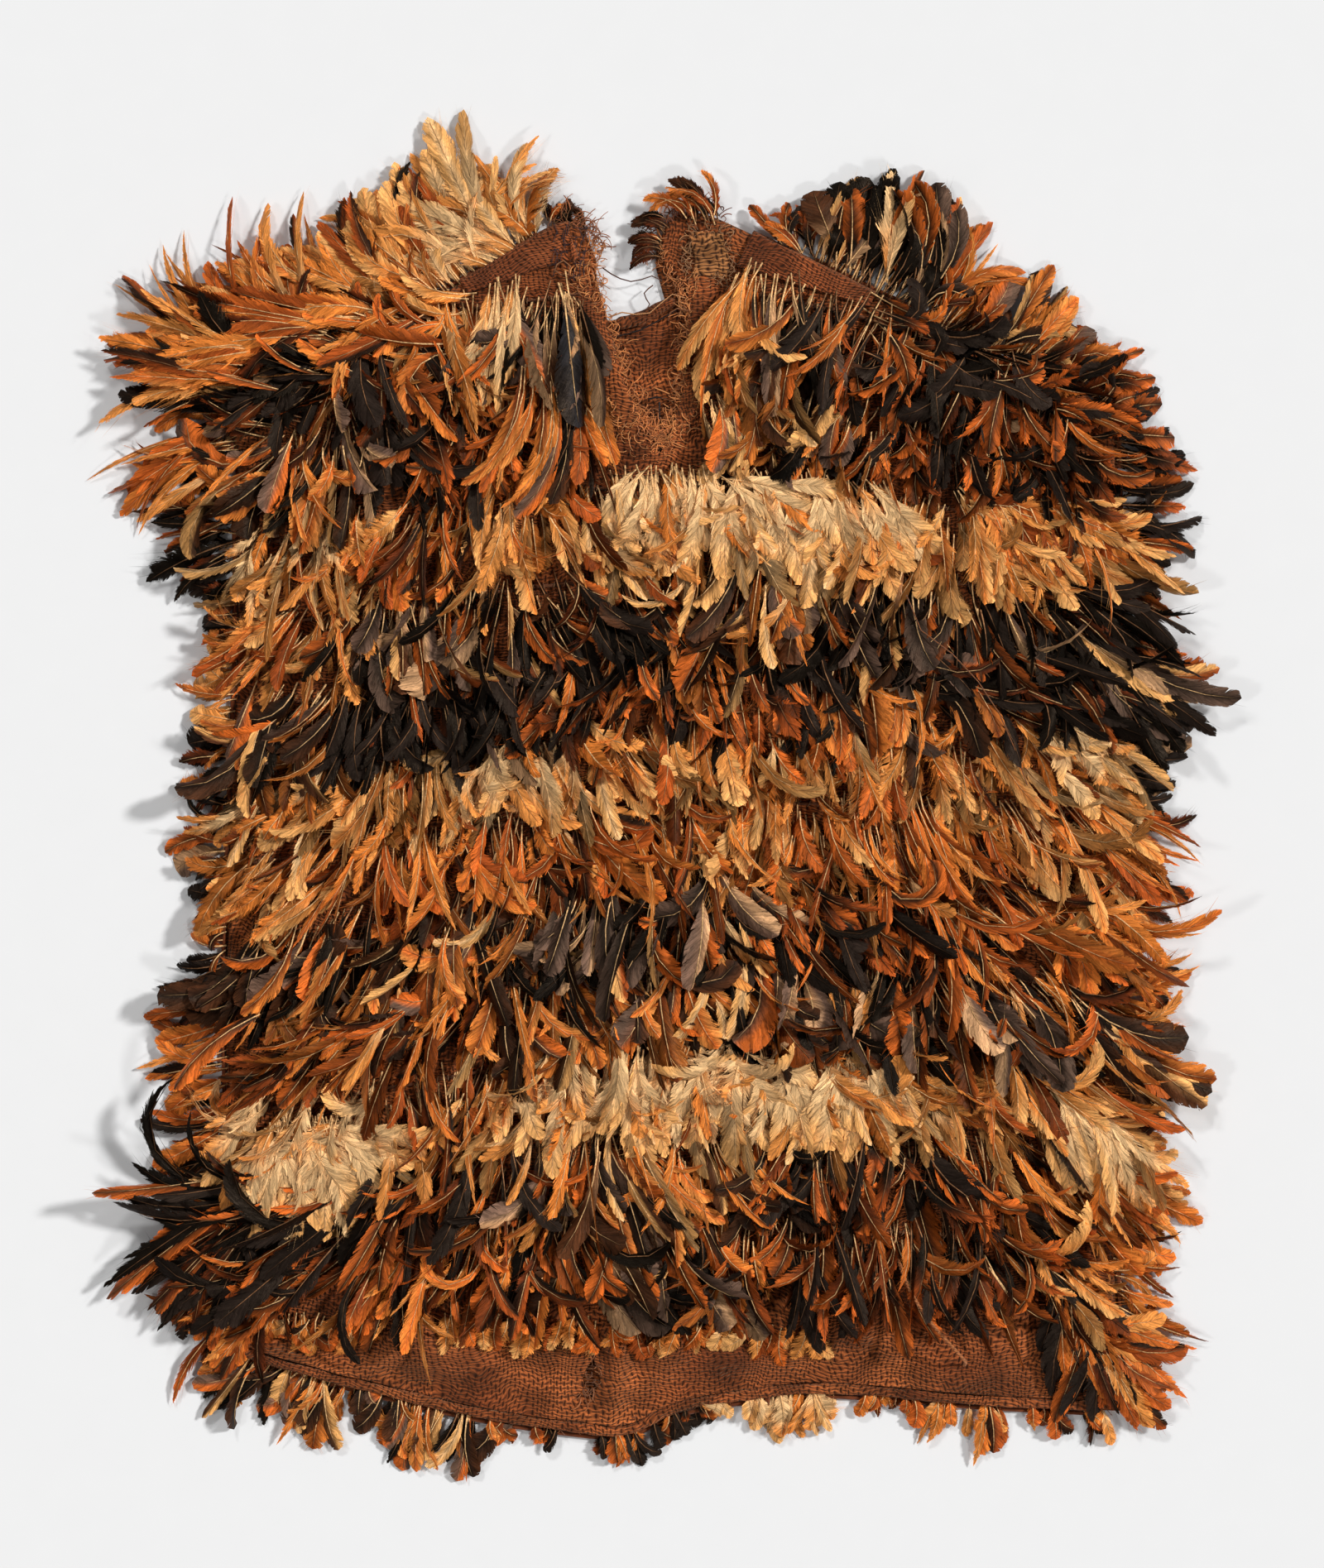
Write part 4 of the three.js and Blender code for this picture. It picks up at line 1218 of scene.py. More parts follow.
@dataclass(frozen=True)
class OuterRow:
    """A cord of the back whose feathers stand out past the cloth."""

    name: str
    slot: str
    path: tuple[Spot, ...]
    lengths: tuple[float, ...]
    turns: tuple[float, ...]
    arch: tuple[float, ...]
    feathers: int
    mixes: tuple[tuple[float, Mix], ...]
    tuck: float = 1.0
    clusters: tuple[float, ...] = ()
    uneven: float = 0.22

    def place(self, t: float) -> tuple[np.ndarray, float]:
        """A place on the cord and the direction away from the cloth.

        Args:
            t: How far along the cord, from 0 to 1.

        Returns:
            The place and the direction's angle.
        """
        points = np.array(self.path)
        steps = np.linalg.norm(np.diff(points, axis=0), axis=1)
        walked = np.concatenate([[0], np.cumsum(steps)]) / steps.sum()
        here = np.array([np.interp(t, walked, points[:, 0]), np.interp(t, walked, points[:, 1])])
        ahead = np.array([np.interp(min(t + 0.02, 1), walked, points[:, i]) for i in (0, 1)])
        behind = np.array([np.interp(max(t - 0.02, 0), walked, points[:, i]) for i in (0, 1)])
        along = ahead - behind
        return here, math.atan2(-along[0], along[1])

    def lay(self, rng: Chances) -> Lay:
        """Knots the feathers on the cord.

        Args:
            rng: The row of chances.

        Returns:
            The feathers laid out.
        """
        lay = Lay()
        stops = np.linspace(0, 1, len(self.lengths))
        turns = np.linspace(0, 1, len(self.turns))
        arches = np.linspace(0, 1, len(self.arch))
        waves = rng.uniform(0, 2 * np.pi, 2)
        for k in range(self.feathers):
            t = float(np.clip((k + rng.uniform(0, 1)) / self.feathers, 0.0, 1.0))
            if self.clusters:
                t = float(np.clip(self.clusters[k % len(self.clusters)] + rng.normal(0, 0.010), 0, 1))
            here, out = self.place(t)
            here = here - self.tuck * np.array([math.cos(out), math.sin(out)])
            gust = 1 + self.uneven * (math.sin(31 * t + waves[0]) + 0.5 * math.sin(73 * t + waves[1]))
            plume = pick(rng, self.mixes, t + rng.normal(0, 0.02))
            length = float(np.interp(t, stops, self.lengths)) * plume.length * rng.uniform(0.6, 1.1) * gust
            tier = k % 3
            lay.add(
                root=(here[0], here[1], 1.4 + TIER_STEP * tier),
                heading=out + math.radians(float(np.interp(t, turns, self.turns)) + rng.normal(0, 12)),
                length=length,
                width=plume.width * any_width(rng),
                bend=rng.normal(0, 0.6),
                rise=LOCK_DROOP * length,
                arch=float(np.interp(t, arches, self.arch)) * rng.uniform(0.5, 1.6),
                roll=rng.normal(0, 0.35),
                twist=rng.normal(0, 0.5),
                cup=rng.uniform(0.05, 0.5),
                plume=plume,
                # glow: a random tone times the painted shading of the feather's layer
                glow=rng.uniform(0.7, 1.3) * TIER_PAINTED_SHADING[tier + 1],
            )
        return lay


def any_width(rng: Chances) -> float:
    """A feather's share of its sort's full half width."""
    return rng.uniform(0.38, 0.84) * (LARGE_SIZE if rng.random() < LARGE_SHARE else 1.0)


def pick(rng: Chances, mixes: tuple[tuple[float, Mix], ...], place: float = 0.0) -> Plume:
    """Picks one sort of feather by its share in the mix at a place.

    Args:
        rng: The row of chances.
        mixes: The mixes, each with the place where it ends.
        place: Where the feather is.

    Returns:
        The sort of feather.
    """
    plumes = next((mix for end, mix in mixes if place <= end), mixes[-1][1]).value
    shares = np.array([p.share for p in plumes], float)
    return plumes[int(rng.choice(len(plumes), p=shares / shares.sum()))]


def away_from_shoulder(x: float) -> np.ndarray:
    """The direction away from the cloth at a place on the shoulder edge."""
    slope = float(curve_at(SHOULDER_LINE, x + 0.5) - curve_at(SHOULDER_LINE, x - 0.5))
    direction = np.array([-slope, 1.0])
    return direction / np.linalg.norm(direction)


def outside_shoulder(start: float, end: float, clearance: float, count: int) -> list[Spot]:
    """Points just outside the shoulder edge.

    Args:
        start: The first place along X.
        end: The last place along X.
        clearance: How far out the points lie.
        count: How many steps.

    Returns:
        The points.
    """
    points = []
    for x in np.linspace(start, end, count + 1):
        out = away_from_shoulder(float(x))
        points.append((float(x + out[0] * clearance), float(curve_at(SHOULDER_LINE, x) + out[1] * clearance)))
    return points


def outside_side(sign: int, start: float, end: float, count: int) -> list[Spot]:
    """Points just outside a side edge of the back panel.

    Args:
        sign: -1 for the left side and 1 for the right.
        start: The first place along Y.
        end: The last place along Y.
        count: How many steps.

    Returns:
        The points.
    """
    edge = CLOTH_LEFT if sign < 0 else CLOTH_RIGHT
    clear = BACK_MARGIN + CORD_DEPTH / 2 + 2 * SEAM_GAP
    return [(float(edge + sign * clear + side_wave(y)), float(y)) for y in np.linspace(start, end, count + 1)]


def outside_hem(count: int) -> list[Spot]:
    """Points just past the back panel's bottom edge, from left to right."""
    clear = HEM_REACH + CORD_DEPTH / 2 + 4 * SEAM_GAP
    stops = np.linspace(CLOTH_LEFT + 2, CLOTH_RIGHT - 4, count + 1)
    return [(float(x), float(curve_at(HEM_LINE, x)) - clear) for x in stops]


RUST_SLOT, DARK_SLOT, CREAM_SLOT = "rust_feathers", "dark_feathers", "cream_feathers"
FRONT_ROWS = (
    FrontRow("row_01_left", RUST_SLOT, -256, -54, 278, 318, 334, 72, 84, 100, -70, 6, 120,
             ((-190, BLACKISH), (-140, RUSTY), (-112, GOLDEN), (-96, MOTTLED),
              (0, SLATY)),
             (-1000, -42),
             (-282, -130, 96, -102, -78, 92)),
    FrontRow("row_01_right", RUST_SLOT, 44, 278, 338, 310, 254, 96, 84, 74, -14, 52, 128,
             ((66, GOLDEN), (116, MOTTLED), (170, EMBERS), (220, BLACKISH),
              (300, EMBERS)), (22, 1000), (140, 292, 84, 60, 84, 60)),
    FrontRow("row_02_left", DARK_SLOT, -274, -46, 222, 256, 272, 74, 86, 90, -66, 8, 130,
             ((-220, MOTTLED), (-165, BLACKISH), (-110, EMBERS), (0, RUSTY)), (-1000, -30)),
    FrontRow("row_02_right", DARK_SLOT, 26, 290, 262, 252, 216, 62, 58, 60, -4, 70, 138,
             ((40, CREAMY), (130, MOTTLED), (300, EMBERS)), (16, 1000)),
    FrontRow("row_03", CREAM_SLOT, -276, 290, 166, 207, 178, 72, 84, 92, -28, 50, 268,
             ((-215, CREAMY), (-170, GOLDEN), (-120, RUSTY), (-50, GOLDEN), (120, CREAMY),
              (300, GOLDEN))),
    FrontRow("row_04", DARK_SLOT, -276, 290, 112, 146, 136, 68, 84, 96, -32, 46, 268,
             ((-200, GOLDEN), (-100, SLATY), (-10, BLACKISH), (90, MOTTLED),
              (200, SLATY), (300, BLACKISH))),
    FrontRow("row_05", DARK_SLOT, -276, 290, 58, 90, 88, 86, 76, 98, -48, 74, 268,
             ((-210, MOTTLED), (-90, BLACKISH), (110, EMBERS), (170, MOTTLED),
              (300, BLACKISH))),
    FrontRow("row_06", CREAM_SLOT, -276, 290, 2, 42, 38, 74, 72, 86, -36, 48, 258,
             ((-225, CREAMY), (-150, GOLDEN), (-60, CREAMY), (60, GOLDEN), (180, FLUFFY),
              (230, GOLDEN), (300, CREAMY))),
    FrontRow("row_07", RUST_SLOT, -276, 290, -46, -8, -12, 76, 80, 100, -42, 54, 268,
             ((-190, GOLDEN), (30, RUSTY), (120, FLUFFY), (230, RUSTY), (300, GOLDEN))),
    FrontRow("row_08", DARK_SLOT, -276, 290, -100, -60, -70, 86, 82, 112, -50, 66, 268,
             ((-60, MOTTLED), (50, SLATY), (170, EMBERS), (300, RUSTY))),
    FrontRow("row_09", DARK_SLOT, -276, 290, -154, -114, -128, 104, 68, 100, -62, 58, 268,
             ((-210, EMBERS), (-130, RUSTY), (70, MOTTLED), (240, SLATY), (300, RUSTY)),
             thin=(-278, -234)),
    FrontRow("row_10", CREAM_SLOT, -276, 290, -212, -170, -186, 88, 82, 96, -44, 50, 268,
             ((-180, CREAMY), (-130, RUSTY), (-90, GOLDEN), (150, CREAMY),
              (300, GOLDEN))),
    FrontRow("row_11", DARK_SLOT, -276, 290, -262, -228, -242, 132, 76, 92, -70, 52, 268,
             ((-200, BLACKISH), (-90, EMBERS), (-50, SLATY), (90, MOTTLED),
              (220, EMBERS), (300, RUSTY))),
    FrontRow("row_12", RUST_SLOT, -275, 268, -308, -286, -300, 84, 80, 88, -58, 52, 258,
             ((-180, EMBERS), (-60, RUSTY), (30, SLATY), (70, RUSTY),
              (240, EMBERS), (300, GOLDEN))),
)
EDGE_CLEARANCE = CORD_DEPTH / 2 + 2 * SEAM_GAP
FAN_FOOT = 218.0
SIDE_TOP, SIDE_BOTTOM = 204.0, -352.0
OUTER_ROWS = (
    OuterRow(
        "left_shoulder_fan", RUST_SLOT,
        tuple(
            outside_shoulder(-82, CLOTH_LEFT, EDGE_CLEARANCE + 1.6, 12) + outside_side(-1, 256, FAN_FOOT, 3)
        ),
        (74, 93, 72, 70, 92, 96, 70), (-8, 0, 14, 30, 14, 10, 22), (10, 9, 8, 5), 150,
        ((0.24, CREAMY), (0.5, GOLDEN), (1.1, RUSTY)),
    ),
    OuterRow(
        "right_shoulder_fan", RUST_SLOT,
        tuple(outside_side(1, FAN_FOOT, 242, 3) + outside_shoulder(CLOTH_RIGHT, 100, EDGE_CLEARANCE + 3, 12)),
        (44, 38, 44, 50, 58, 68, 60), (-18, -14, -16, -24, -16, -4, 8), (5, 8, 9, 10), 130,
        ((0.3, EMBERS), (0.55, MOTTLED), (0.7, RUSTY), (1.1, SLATY)),
    ),
    OuterRow(
        "left_side_row", DARK_SLOT, tuple(outside_side(-1, SIDE_TOP, SIDE_BOTTOM, 12)),
        (60, 62, 22, 30, 46, 38, 26, 42, 46, 62, 48, 70, 76), (10, 14, 18, 16, 20, 22, 26), (4, 5, 4), 140,
        ((0.16, BLACKISH), (0.3, GOLDEN), (0.55, BLACKISH), (0.75, RUSTY), (1.1, EMBERS)),
    ),
    OuterRow(
        "right_side_row", DARK_SLOT, tuple(outside_side(1, SIDE_BOTTOM, SIDE_TOP, 12)),
        (56, 52, 54, 48, 56, 50, 46), (-24, -22, -18, -20, -16, -14, -8), (4, 5, 4), 140,
        ((0.2, RUSTY), (0.4, GOLDEN), (0.62, RUSTY), (0.78, BLACKISH), (1.1, EMBERS)),
    ),
    OuterRow(
        "back_hem_row", DARK_SLOT, tuple(outside_hem(26)),
        (40, 44, 40, 22, 18, 26, 32, 26, 30, 36), (-24, -8, 2, 4, 0, -3, 3, 6, 14, 30), (3, 2, 3), 170,
        ((0.3, MOTTLED), (0.55, EMBERS), (0.7, CREAMY), (1.1, RUSTY)), 6.0,
        (0.01, 0.05, 0.085, 0.11, 0.15, 0.19, 0.21, 0.26, 0.3, 0.36, 0.43, 0.46, 0.5, 0.545, 0.61, 0.64,
         0.68, 0.74, 0.77, 0.82, 0.87, 0.93, 0.97), 0.3,
    ),
)


@dataclass(frozen=True)
class Tuft:
    """A few feathers tucked in by hand, sewn to the end of a row or over its edge."""

    start: tuple[float, float, float]
    end: tuple[float, float, float]
    count: int
    heading: float
    fan: float
    length: float
    width: float
    bend: float
    mix: Mix
    arch: float = 3.0
    unruly: float = 0.25

    def lay(self, lay: Lay, rng: Chances) -> None:
        """Tucks the feathers in.

        Args:
            lay: Where they go.
            rng: The row of chances.
        """
        start, end = np.array(self.start), np.array(self.end)
        for k in range(self.count):
            share = (k + rng.uniform(0, 1)) / self.count
            place = start + (end - start) * share + rng.normal(0, 1.5, 3) * (1, 1, 0.4)
            plume = pick(rng, ((0.0, self.mix),))
            spread = rng.normal(0, self.fan * 0.5)
            length = self.length * rng.uniform(0.75, 1.15)
            lay.add(
                root=tuple(place), heading=math.radians(self.heading + spread), length=length,
                width=self.width * rng.uniform(0.75, 1.15), bend=self.bend + rng.normal(0, self.unruly),
                rise=LOCK_DROOP * length, arch=self.arch * rng.uniform(0.5, 1.5), roll=rng.normal(0, 0.3),
                twist=rng.normal(0, 0.5), cup=rng.uniform(0.05, 0.5), plume=plume,
                glow=rng.uniform(0.85, 1.2),
            )


TUFTS = {
    "row_01_left": (
        Tuft((-62, 326, 24), (-61, 324, 24), 1, -84, 0, 100, 14, 0.05, SINGLE_INK, 0, 0.05),
        Tuft((-72, 330, 9), (-52, 322, 9), 10, -88, 14, 84, 6, -0.3, SLATY),
        Tuft((-118, 334, 14), (-96, 338, 14), 6, -92, 18, 84, 6, -0.3, SINGLE_CREAM),
        Tuft((-96, 280, 22), (-58, 256, 20), 9, -84, 16, 84, 6, -0.75, MOTTLED),
    ),
    "left_shoulder_fan": (
        Tuft((-94, 362, 5), (-112, 352, 5), 9, 156, 20, 84, 9, 0.3, SINGLE_CREAM, 9),
        Tuft((-150, 372, 8), (-138, 376, 8), 2, 88, 12, 58, 7, 0.1, SINGLE_CREAM, 5),
        Tuft((-172, 372, 7), (-160, 374, 7), 2, 102, 10, 52, 6, -0.3, BLACKISH, 5),
        Tuft((-122, 376, 8), (-104, 378, 8), 7, 82, 16, 62, 3.4, -0.5, FLUFFY, 6, 0.5),
        Tuft((-200, 330, 8), (-150, 350, 8), 18, 140, 24, 64, 8, -0.4, GOLDEN, 7),
        Tuft((-78, 384, 3), (-50, 372, 3), 14, 74, 50, 20, 3.4, 0.4, SOOTY, 4, 0.8),
        Tuft((-272, 288, 20), (-190, 322, 20), 30, 172, 16, 84, 8, 0.35, RUSTY, 6),
        Tuft((-270, 326, 8), (-225, 342, 8), 11, 128, 16, 42, 6, 0.3, GOLDEN, 6),
        Tuft((-284, 268, 16), (-232, 308, 16), 26, 168, 20, 92, 7, 0.3, GOLDEN, 6),
    ),
    "row_01_right": (
        Tuft((16, 384, 4), (38, 384, 4), 12, 104, 22, 38, 4.4, 1.1, SOOTY, 5, 0.4),
        Tuft((-1, 356, 3), (0, 386, 3), 12, 150, 40, 24, 4.0, 1.0, SOOTY, 4, 0.6),
        Tuft((46, 340, 9), (64, 350, 9), 8, -122, 16, 84, 7, 0.6, GOLDEN, 4),
        Tuft((60, 338, 14), (92, 340, 14), 9, -100, 22, 84, 7, 0.5, SLATY, 4),
    ),
    "right_shoulder_fan": (
        Tuft((112, 360, 8), (136, 350, 8), 8, 84, 22, 60, 11, -0.1, SLATY, 6),
        Tuft((148, 348, 9), (152, 346, 9), 2, 82, 8, 78, 8, 0.0, SINGLE_CREAM, 6),
        Tuft((160, 344, 9), (184, 336, 9), 9, 62, 18, 64, 8, 0.8, SLATY, 6),
        Tuft((80, 368, 6), (104, 360, 6), 12, 100, 40, 34, 4.5, 0.6, EMBERS, 5, 0.8),
    ),
    "row_12": (
        Tuft((262, -318, 5), (298, -352, 5), 46, -72, 34, 70, 8, 0.2, EMBERS),
        Tuft((272, -340, 8), (300, -372, 6), 30, -62, 40, 56, 7, 0.3, RUSTY),
        Tuft((-284, -322, 5), (-262, -336, 5), 22, -118, 30, 56, 6, -0.2, RUSTY),
        Tuft((-150, -348, 3), (110, -356, 3), 40, -90, 34, 24, 7, 0.0, FLUFFY, 3, 0.7),
        Tuft((-270, -346, 3), (-190, -352, 3), 18, -110, 40, 26, 6, 0.0, RUSTY, 3, 0.7),
    ),
    "row_10": (
        Tuft((-262, -222, 12), (-214, -218, 12), 50, -92, 52, 74, 8, 0.0, SINGLE_CREAM, 5),
        Tuft((262, -196, 12), (292, -212, 12), 22, -58, 30, 84, 8, 0.1, CREAMY, 4),
        Tuft((-30, -172, 12), (150, -176, 12), 60, -88, 50, 64, 8, 0.0, SINGLE_CREAM, 4, 0.6),
    ),
    "row_09": (
        Tuft((270, -132, 12), (296, -150, 12), 16, -52, 20, 92, 10, 0.2, MOTTLED, 4),
    ),
    "row_11": (
        Tuft((-274, -262, 9), (-240, -262, 9), 20, -138, 18, 116, 6.5, 0.1, BLACKISH, 4),
    ),
    "row_04": (
        Tuft((262, 116, 12), (292, 98, 12), 14, -50, 20, 92, 9, 0.3, SLATY, 4),
    ),
    "row_03": (
        Tuft((196, 202, 10), (290, 190, 10), 30, -62, 36, 58, 8, 0.3, GOLDEN, 4, 0.5),
        Tuft((-20, 214, 12), (150, 206, 12), 54, -84, 50, 62, 8, 0.2, SINGLE_CREAM, 4, 0.6),
    ),
    "row_06": (
        Tuft((-110, 34, 12), (-84, 36, 12), 6, -100, 60, 44, 9, 0.4, SINGLE_CREAM, 4, 0.6),
    ),
}


class Plumage:
    """All the feathers of the cape, one joined piece for each cord."""

    def __init__(self, finish: Material) -> None:
        """Cuts the stock.

        Args:
            finish: The feathers' material.
        """
        self.finish = finish
        self.stock = FeatherStock()

    def build(self) -> list[Piece]:
        """Makes every row.

        Returns:
            The pieces.
        """
        made = []
        for rows, seed, ground in ((FRONT_ROWS, 300, self.on_front), (OUTER_ROWS, 500, self.on_floor)):
            for k, row in enumerate(rows):
                rng = np.random.default_rng(seed + k)
                lay = row.lay(rng)
                for tuft in TUFTS.get(row.name, ()):
                    tuft.lay(lay, rng)
                piece = Quiver(self.stock, seed + 100 + k, ground).mesh(f"{row.name}_feathers", lay)
                made.append(settle(piece, self.finish, row.slot, row.name))
        return made

    @staticmethod
    def on_front(x: np.ndarray, y: np.ndarray) -> np.ndarray:
        """The height that a feather of the front lies on."""
        return front_top(x, y) + CORD_LIFT

    @staticmethod
    def on_floor(x: np.ndarray, y: np.ndarray) -> np.ndarray:
        """The height that a feather of the back lies on."""
        return np.full_like(x, FLOOR_GAP) + 0 * y


# ---- Cloth ----


def finish_mesh(bm: Mesh, name: str) -> Piece:
    """Writes a mesh in millimetres to an object in metres, smooth and facing outwards.

    Args:
        bm: The mesh, which is used up.
        name: The piece's name.

    Returns:
        The new object.
    """
    bmesh.ops.scale(bm, vec=(MM, MM, MM), verts=bm.verts)
    mesh = bpy.data.meshes.new(name)
    bm.to_mesh(mesh)
    bm.free()
    return placed(mesh)


def walled_sheet(bm: Mesh, name: str, wall: float, finish: Material, slot: str, node: str) -> Piece:
    """Writes and dresses a sheet whose thickness goes inward from its outer face.

    Args:
        bm: The sheet's outer face, which is used up.
        name: The piece's name.
        wall: How thick the sheet is.
        finish: Its material.
        slot: The record's material slot; not used.
        node: The solid that it replaces.

    Returns:
        The piece.
    """
    piece = finish_mesh(bm, name)
    solid = piece.modifiers.new("wall", "SOLIDIFY")
    solid.thickness = wall * MM
    solid.offset = -1.0
    return settle(piece, finish, slot, node)


def cut_hole(bm: Mesh, corners: tuple[Spot, ...]) -> None:
    """Cuts an upright hole through a sheet.

    Args:
        bm: The sheet.
        corners: The hole's corners in order.
    """
    count = len(corners)
    for k in range(count):
        a, b = Vector((*corners[k], 0)), Vector((*corners[(k + 1) % count], 0))
        along = b - a
        low = (min(a.x, b.x) - 1, min(a.y, b.y) - 1)
        high = (max(a.x, b.x) + 1, max(a.y, b.y) + 1)
        near = []
        for face in bm.faces:
            xs, ys = [v.co.x for v in face.verts], [v.co.y for v in face.verts]
            if max(xs) > low[0] and min(xs) < high[0] and max(ys) > low[1] and min(ys) < high[1]:
                near.append(face)
        parts = {g for f in near for g in (f, *f.edges, *f.verts)}
        bmesh.ops.bisect_plane(
            bm, geom=list(parts), dist=1e-4, plane_co=a, plane_no=(along.y, -along.x, 0),
        )
    inside = [f for f in bm.faces if within(f.calc_center_median(), corners)]
    bmesh.ops.delete(bm, geom=inside, context="FACES")


def within(point: Vector, corners: tuple[Spot, ...]) -> bool:
    """Whether a point lies inside a ring of corners."""
    found = False
    for (x1, y1), (x2, y2) in zip(corners, corners[1:] + corners[:1]):
        if (y1 > point.y) != (y2 > point.y) and point.x < (x2 - x1) * (point.y - y1) / (y2 - y1) + x1:
            found = not found
    return found


def map_cut(bm: Mesh, places: dict | None = None) -> None:
    """Gives a sheet the map Cut, millimetres of cloth over 1000.

    Args:
        bm: The sheet.
        places: The cloth's own place by point, where it isn't simply X and Y.
    """
    uv = bm.loops.layers.uv.new("Cut")
    for face in bm.faces:
        for loop in face.loops:
            u, v = places[loop.vert] if places else (loop.vert.co.x, loop.vert.co.y)
            loop[uv].uv = (u * MM, v * MM)


# Small creases of the front cloth: x, y, half length, half width, height and turn in degrees
CREASES = (
    (-258, -374, 30, 8, 6.8, -20), (-236, -362, 24, 7, -4.1, 4), (-212, -386, 30, 8, 6.2, 26),
    (-165, -374, 52, 15, 8.1, -10), (-150, -396, 30, 8, -4.1, 12), (-100, -380, 34, 13, -5.4, -4),
    (-66, -394, 22, 9, 5.4, 50), (-30, -396, 24, 7, 8.1, 84), (-18, -386, 24, 7, -5.9, 74),
    (2, -378, 26, 9, 5.4, 40), (50, -380, 56, 12, 6.2, 4), (84, -392, 34, 7, -4.1, -6),
    (134, -374, 36, 10, -4.9, 8), (176, -384, 36, 9, 5.9, -6), (218, -390, 50, 11, 6.2, 3),
    (262, -376, 26, 9, -4.1, 20), (-42, 304, 34, 8, 4.6, -68), (-28, 262, 26, 7, 4.0, -62),
    (24, 316, 30, 8, 4.6, 86), (16, 262, 22, 7, 4.0, 70), (-2, 236, 16, 6, 3.0, 90),
)


def crease_height(x: Measure, y: Measure) -> np.ndarray:
    """The height of the small creases at a place."""
    return ridge_height(CREASES, x, y)


@dataclass(frozen=True)
class FrontPanel:
    """The front of the cape, slit at the neck and torn above its hem."""

    columns: int = 112
    rows: int = 136
    crowding: float = 1.3
    side_power: int = 4
    hem_swell: float = 3.4
    hem_reach: float = 12.0

    def build(self, finish: Material) -> Piece:
        """Makes the panel.

        Args:
            finish: The cloth's material.

        Returns:
            The piece.
        """
        bm = bmesh.new()
        bmesh.ops.create_grid(bm, x_segments=self.columns, y_segments=self.rows, size=0.5)
        for vert in bm.verts:
            x = CLOTH_LEFT + (CLOTH_RIGHT - CLOTH_LEFT) * (vert.co.x + 0.5)
            hem, shoulder = float(curve_at(HEM_LINE, x)), float(curve_at(SHOULDER_LINE, x))
            y = hem + (shoulder - hem) * (vert.co.y + 0.5) ** self.crowding
            edge = abs(2 * (x - CLOTH_LEFT) / (CLOTH_RIGHT - CLOTH_LEFT) - 1)
            vert.co = (x + float(side_wave(y)) * edge**self.side_power, y, 0.0)
        cut_hole(bm, FRONT_NECK)
        cut_hole(bm, RIP)
        map_cut(bm)
        for vert in bm.verts:
            above_hem = vert.co.y - float(curve_at(HEM_LINE, vert.co.x))
            swell = self.hem_swell * float(smooth(self.hem_reach, 0.0, np.array(above_hem)))
            top = float(front_top(vert.co.x, vert.co.y) + crease_height(vert.co.x, vert.co.y)) + swell
            vert.co.z = max(top, 2 * CLOTH_WALL + SEAM_GAP)
        piece = walled_sheet(bm, "front_cloth", CLOTH_WALL, finish, "ground_cloth", "front_panel")
        return piece


@dataclass(frozen=True)
class BackPanel:
    """The back of the cape, on which everything else lies."""

    columns: int = 60
    rows: int = 80

    def build(self, finish: Material) -> Piece:
        """Makes the panel.

        Args:
            finish: The cloth's material.

        Returns:
            The piece.
        """
        bm = bmesh.new()
        bmesh.ops.create_grid(bm, x_segments=self.columns, y_segments=self.rows, size=0.5)
        left, right = CLOTH_LEFT - BACK_MARGIN, CLOTH_RIGHT + BACK_MARGIN
        for vert in bm.verts:
            x = left + (right - left) * (vert.co.x + 0.5)
            hem = float(curve_at(HEM_LINE, x)) - HEM_REACH
            shoulder = float(curve_at(SHOULDER_LINE, np.clip(x, CLOTH_LEFT, CLOTH_RIGHT)))
            y = hem + (shoulder - hem) * (vert.co.y + 0.5)
            edge = abs(2 * (x - left) / (right - left) - 1)
            vert.co = (x + float(side_wave(y)) * edge**4, y, CLOTH_WALL)
        cut_hole(bm, BACK_NECK)
        map_cut(bm)
        piece = walled_sheet(bm, "back_cloth", CLOTH_WALL, finish, "ground_cloth", "back_panel")
        return piece


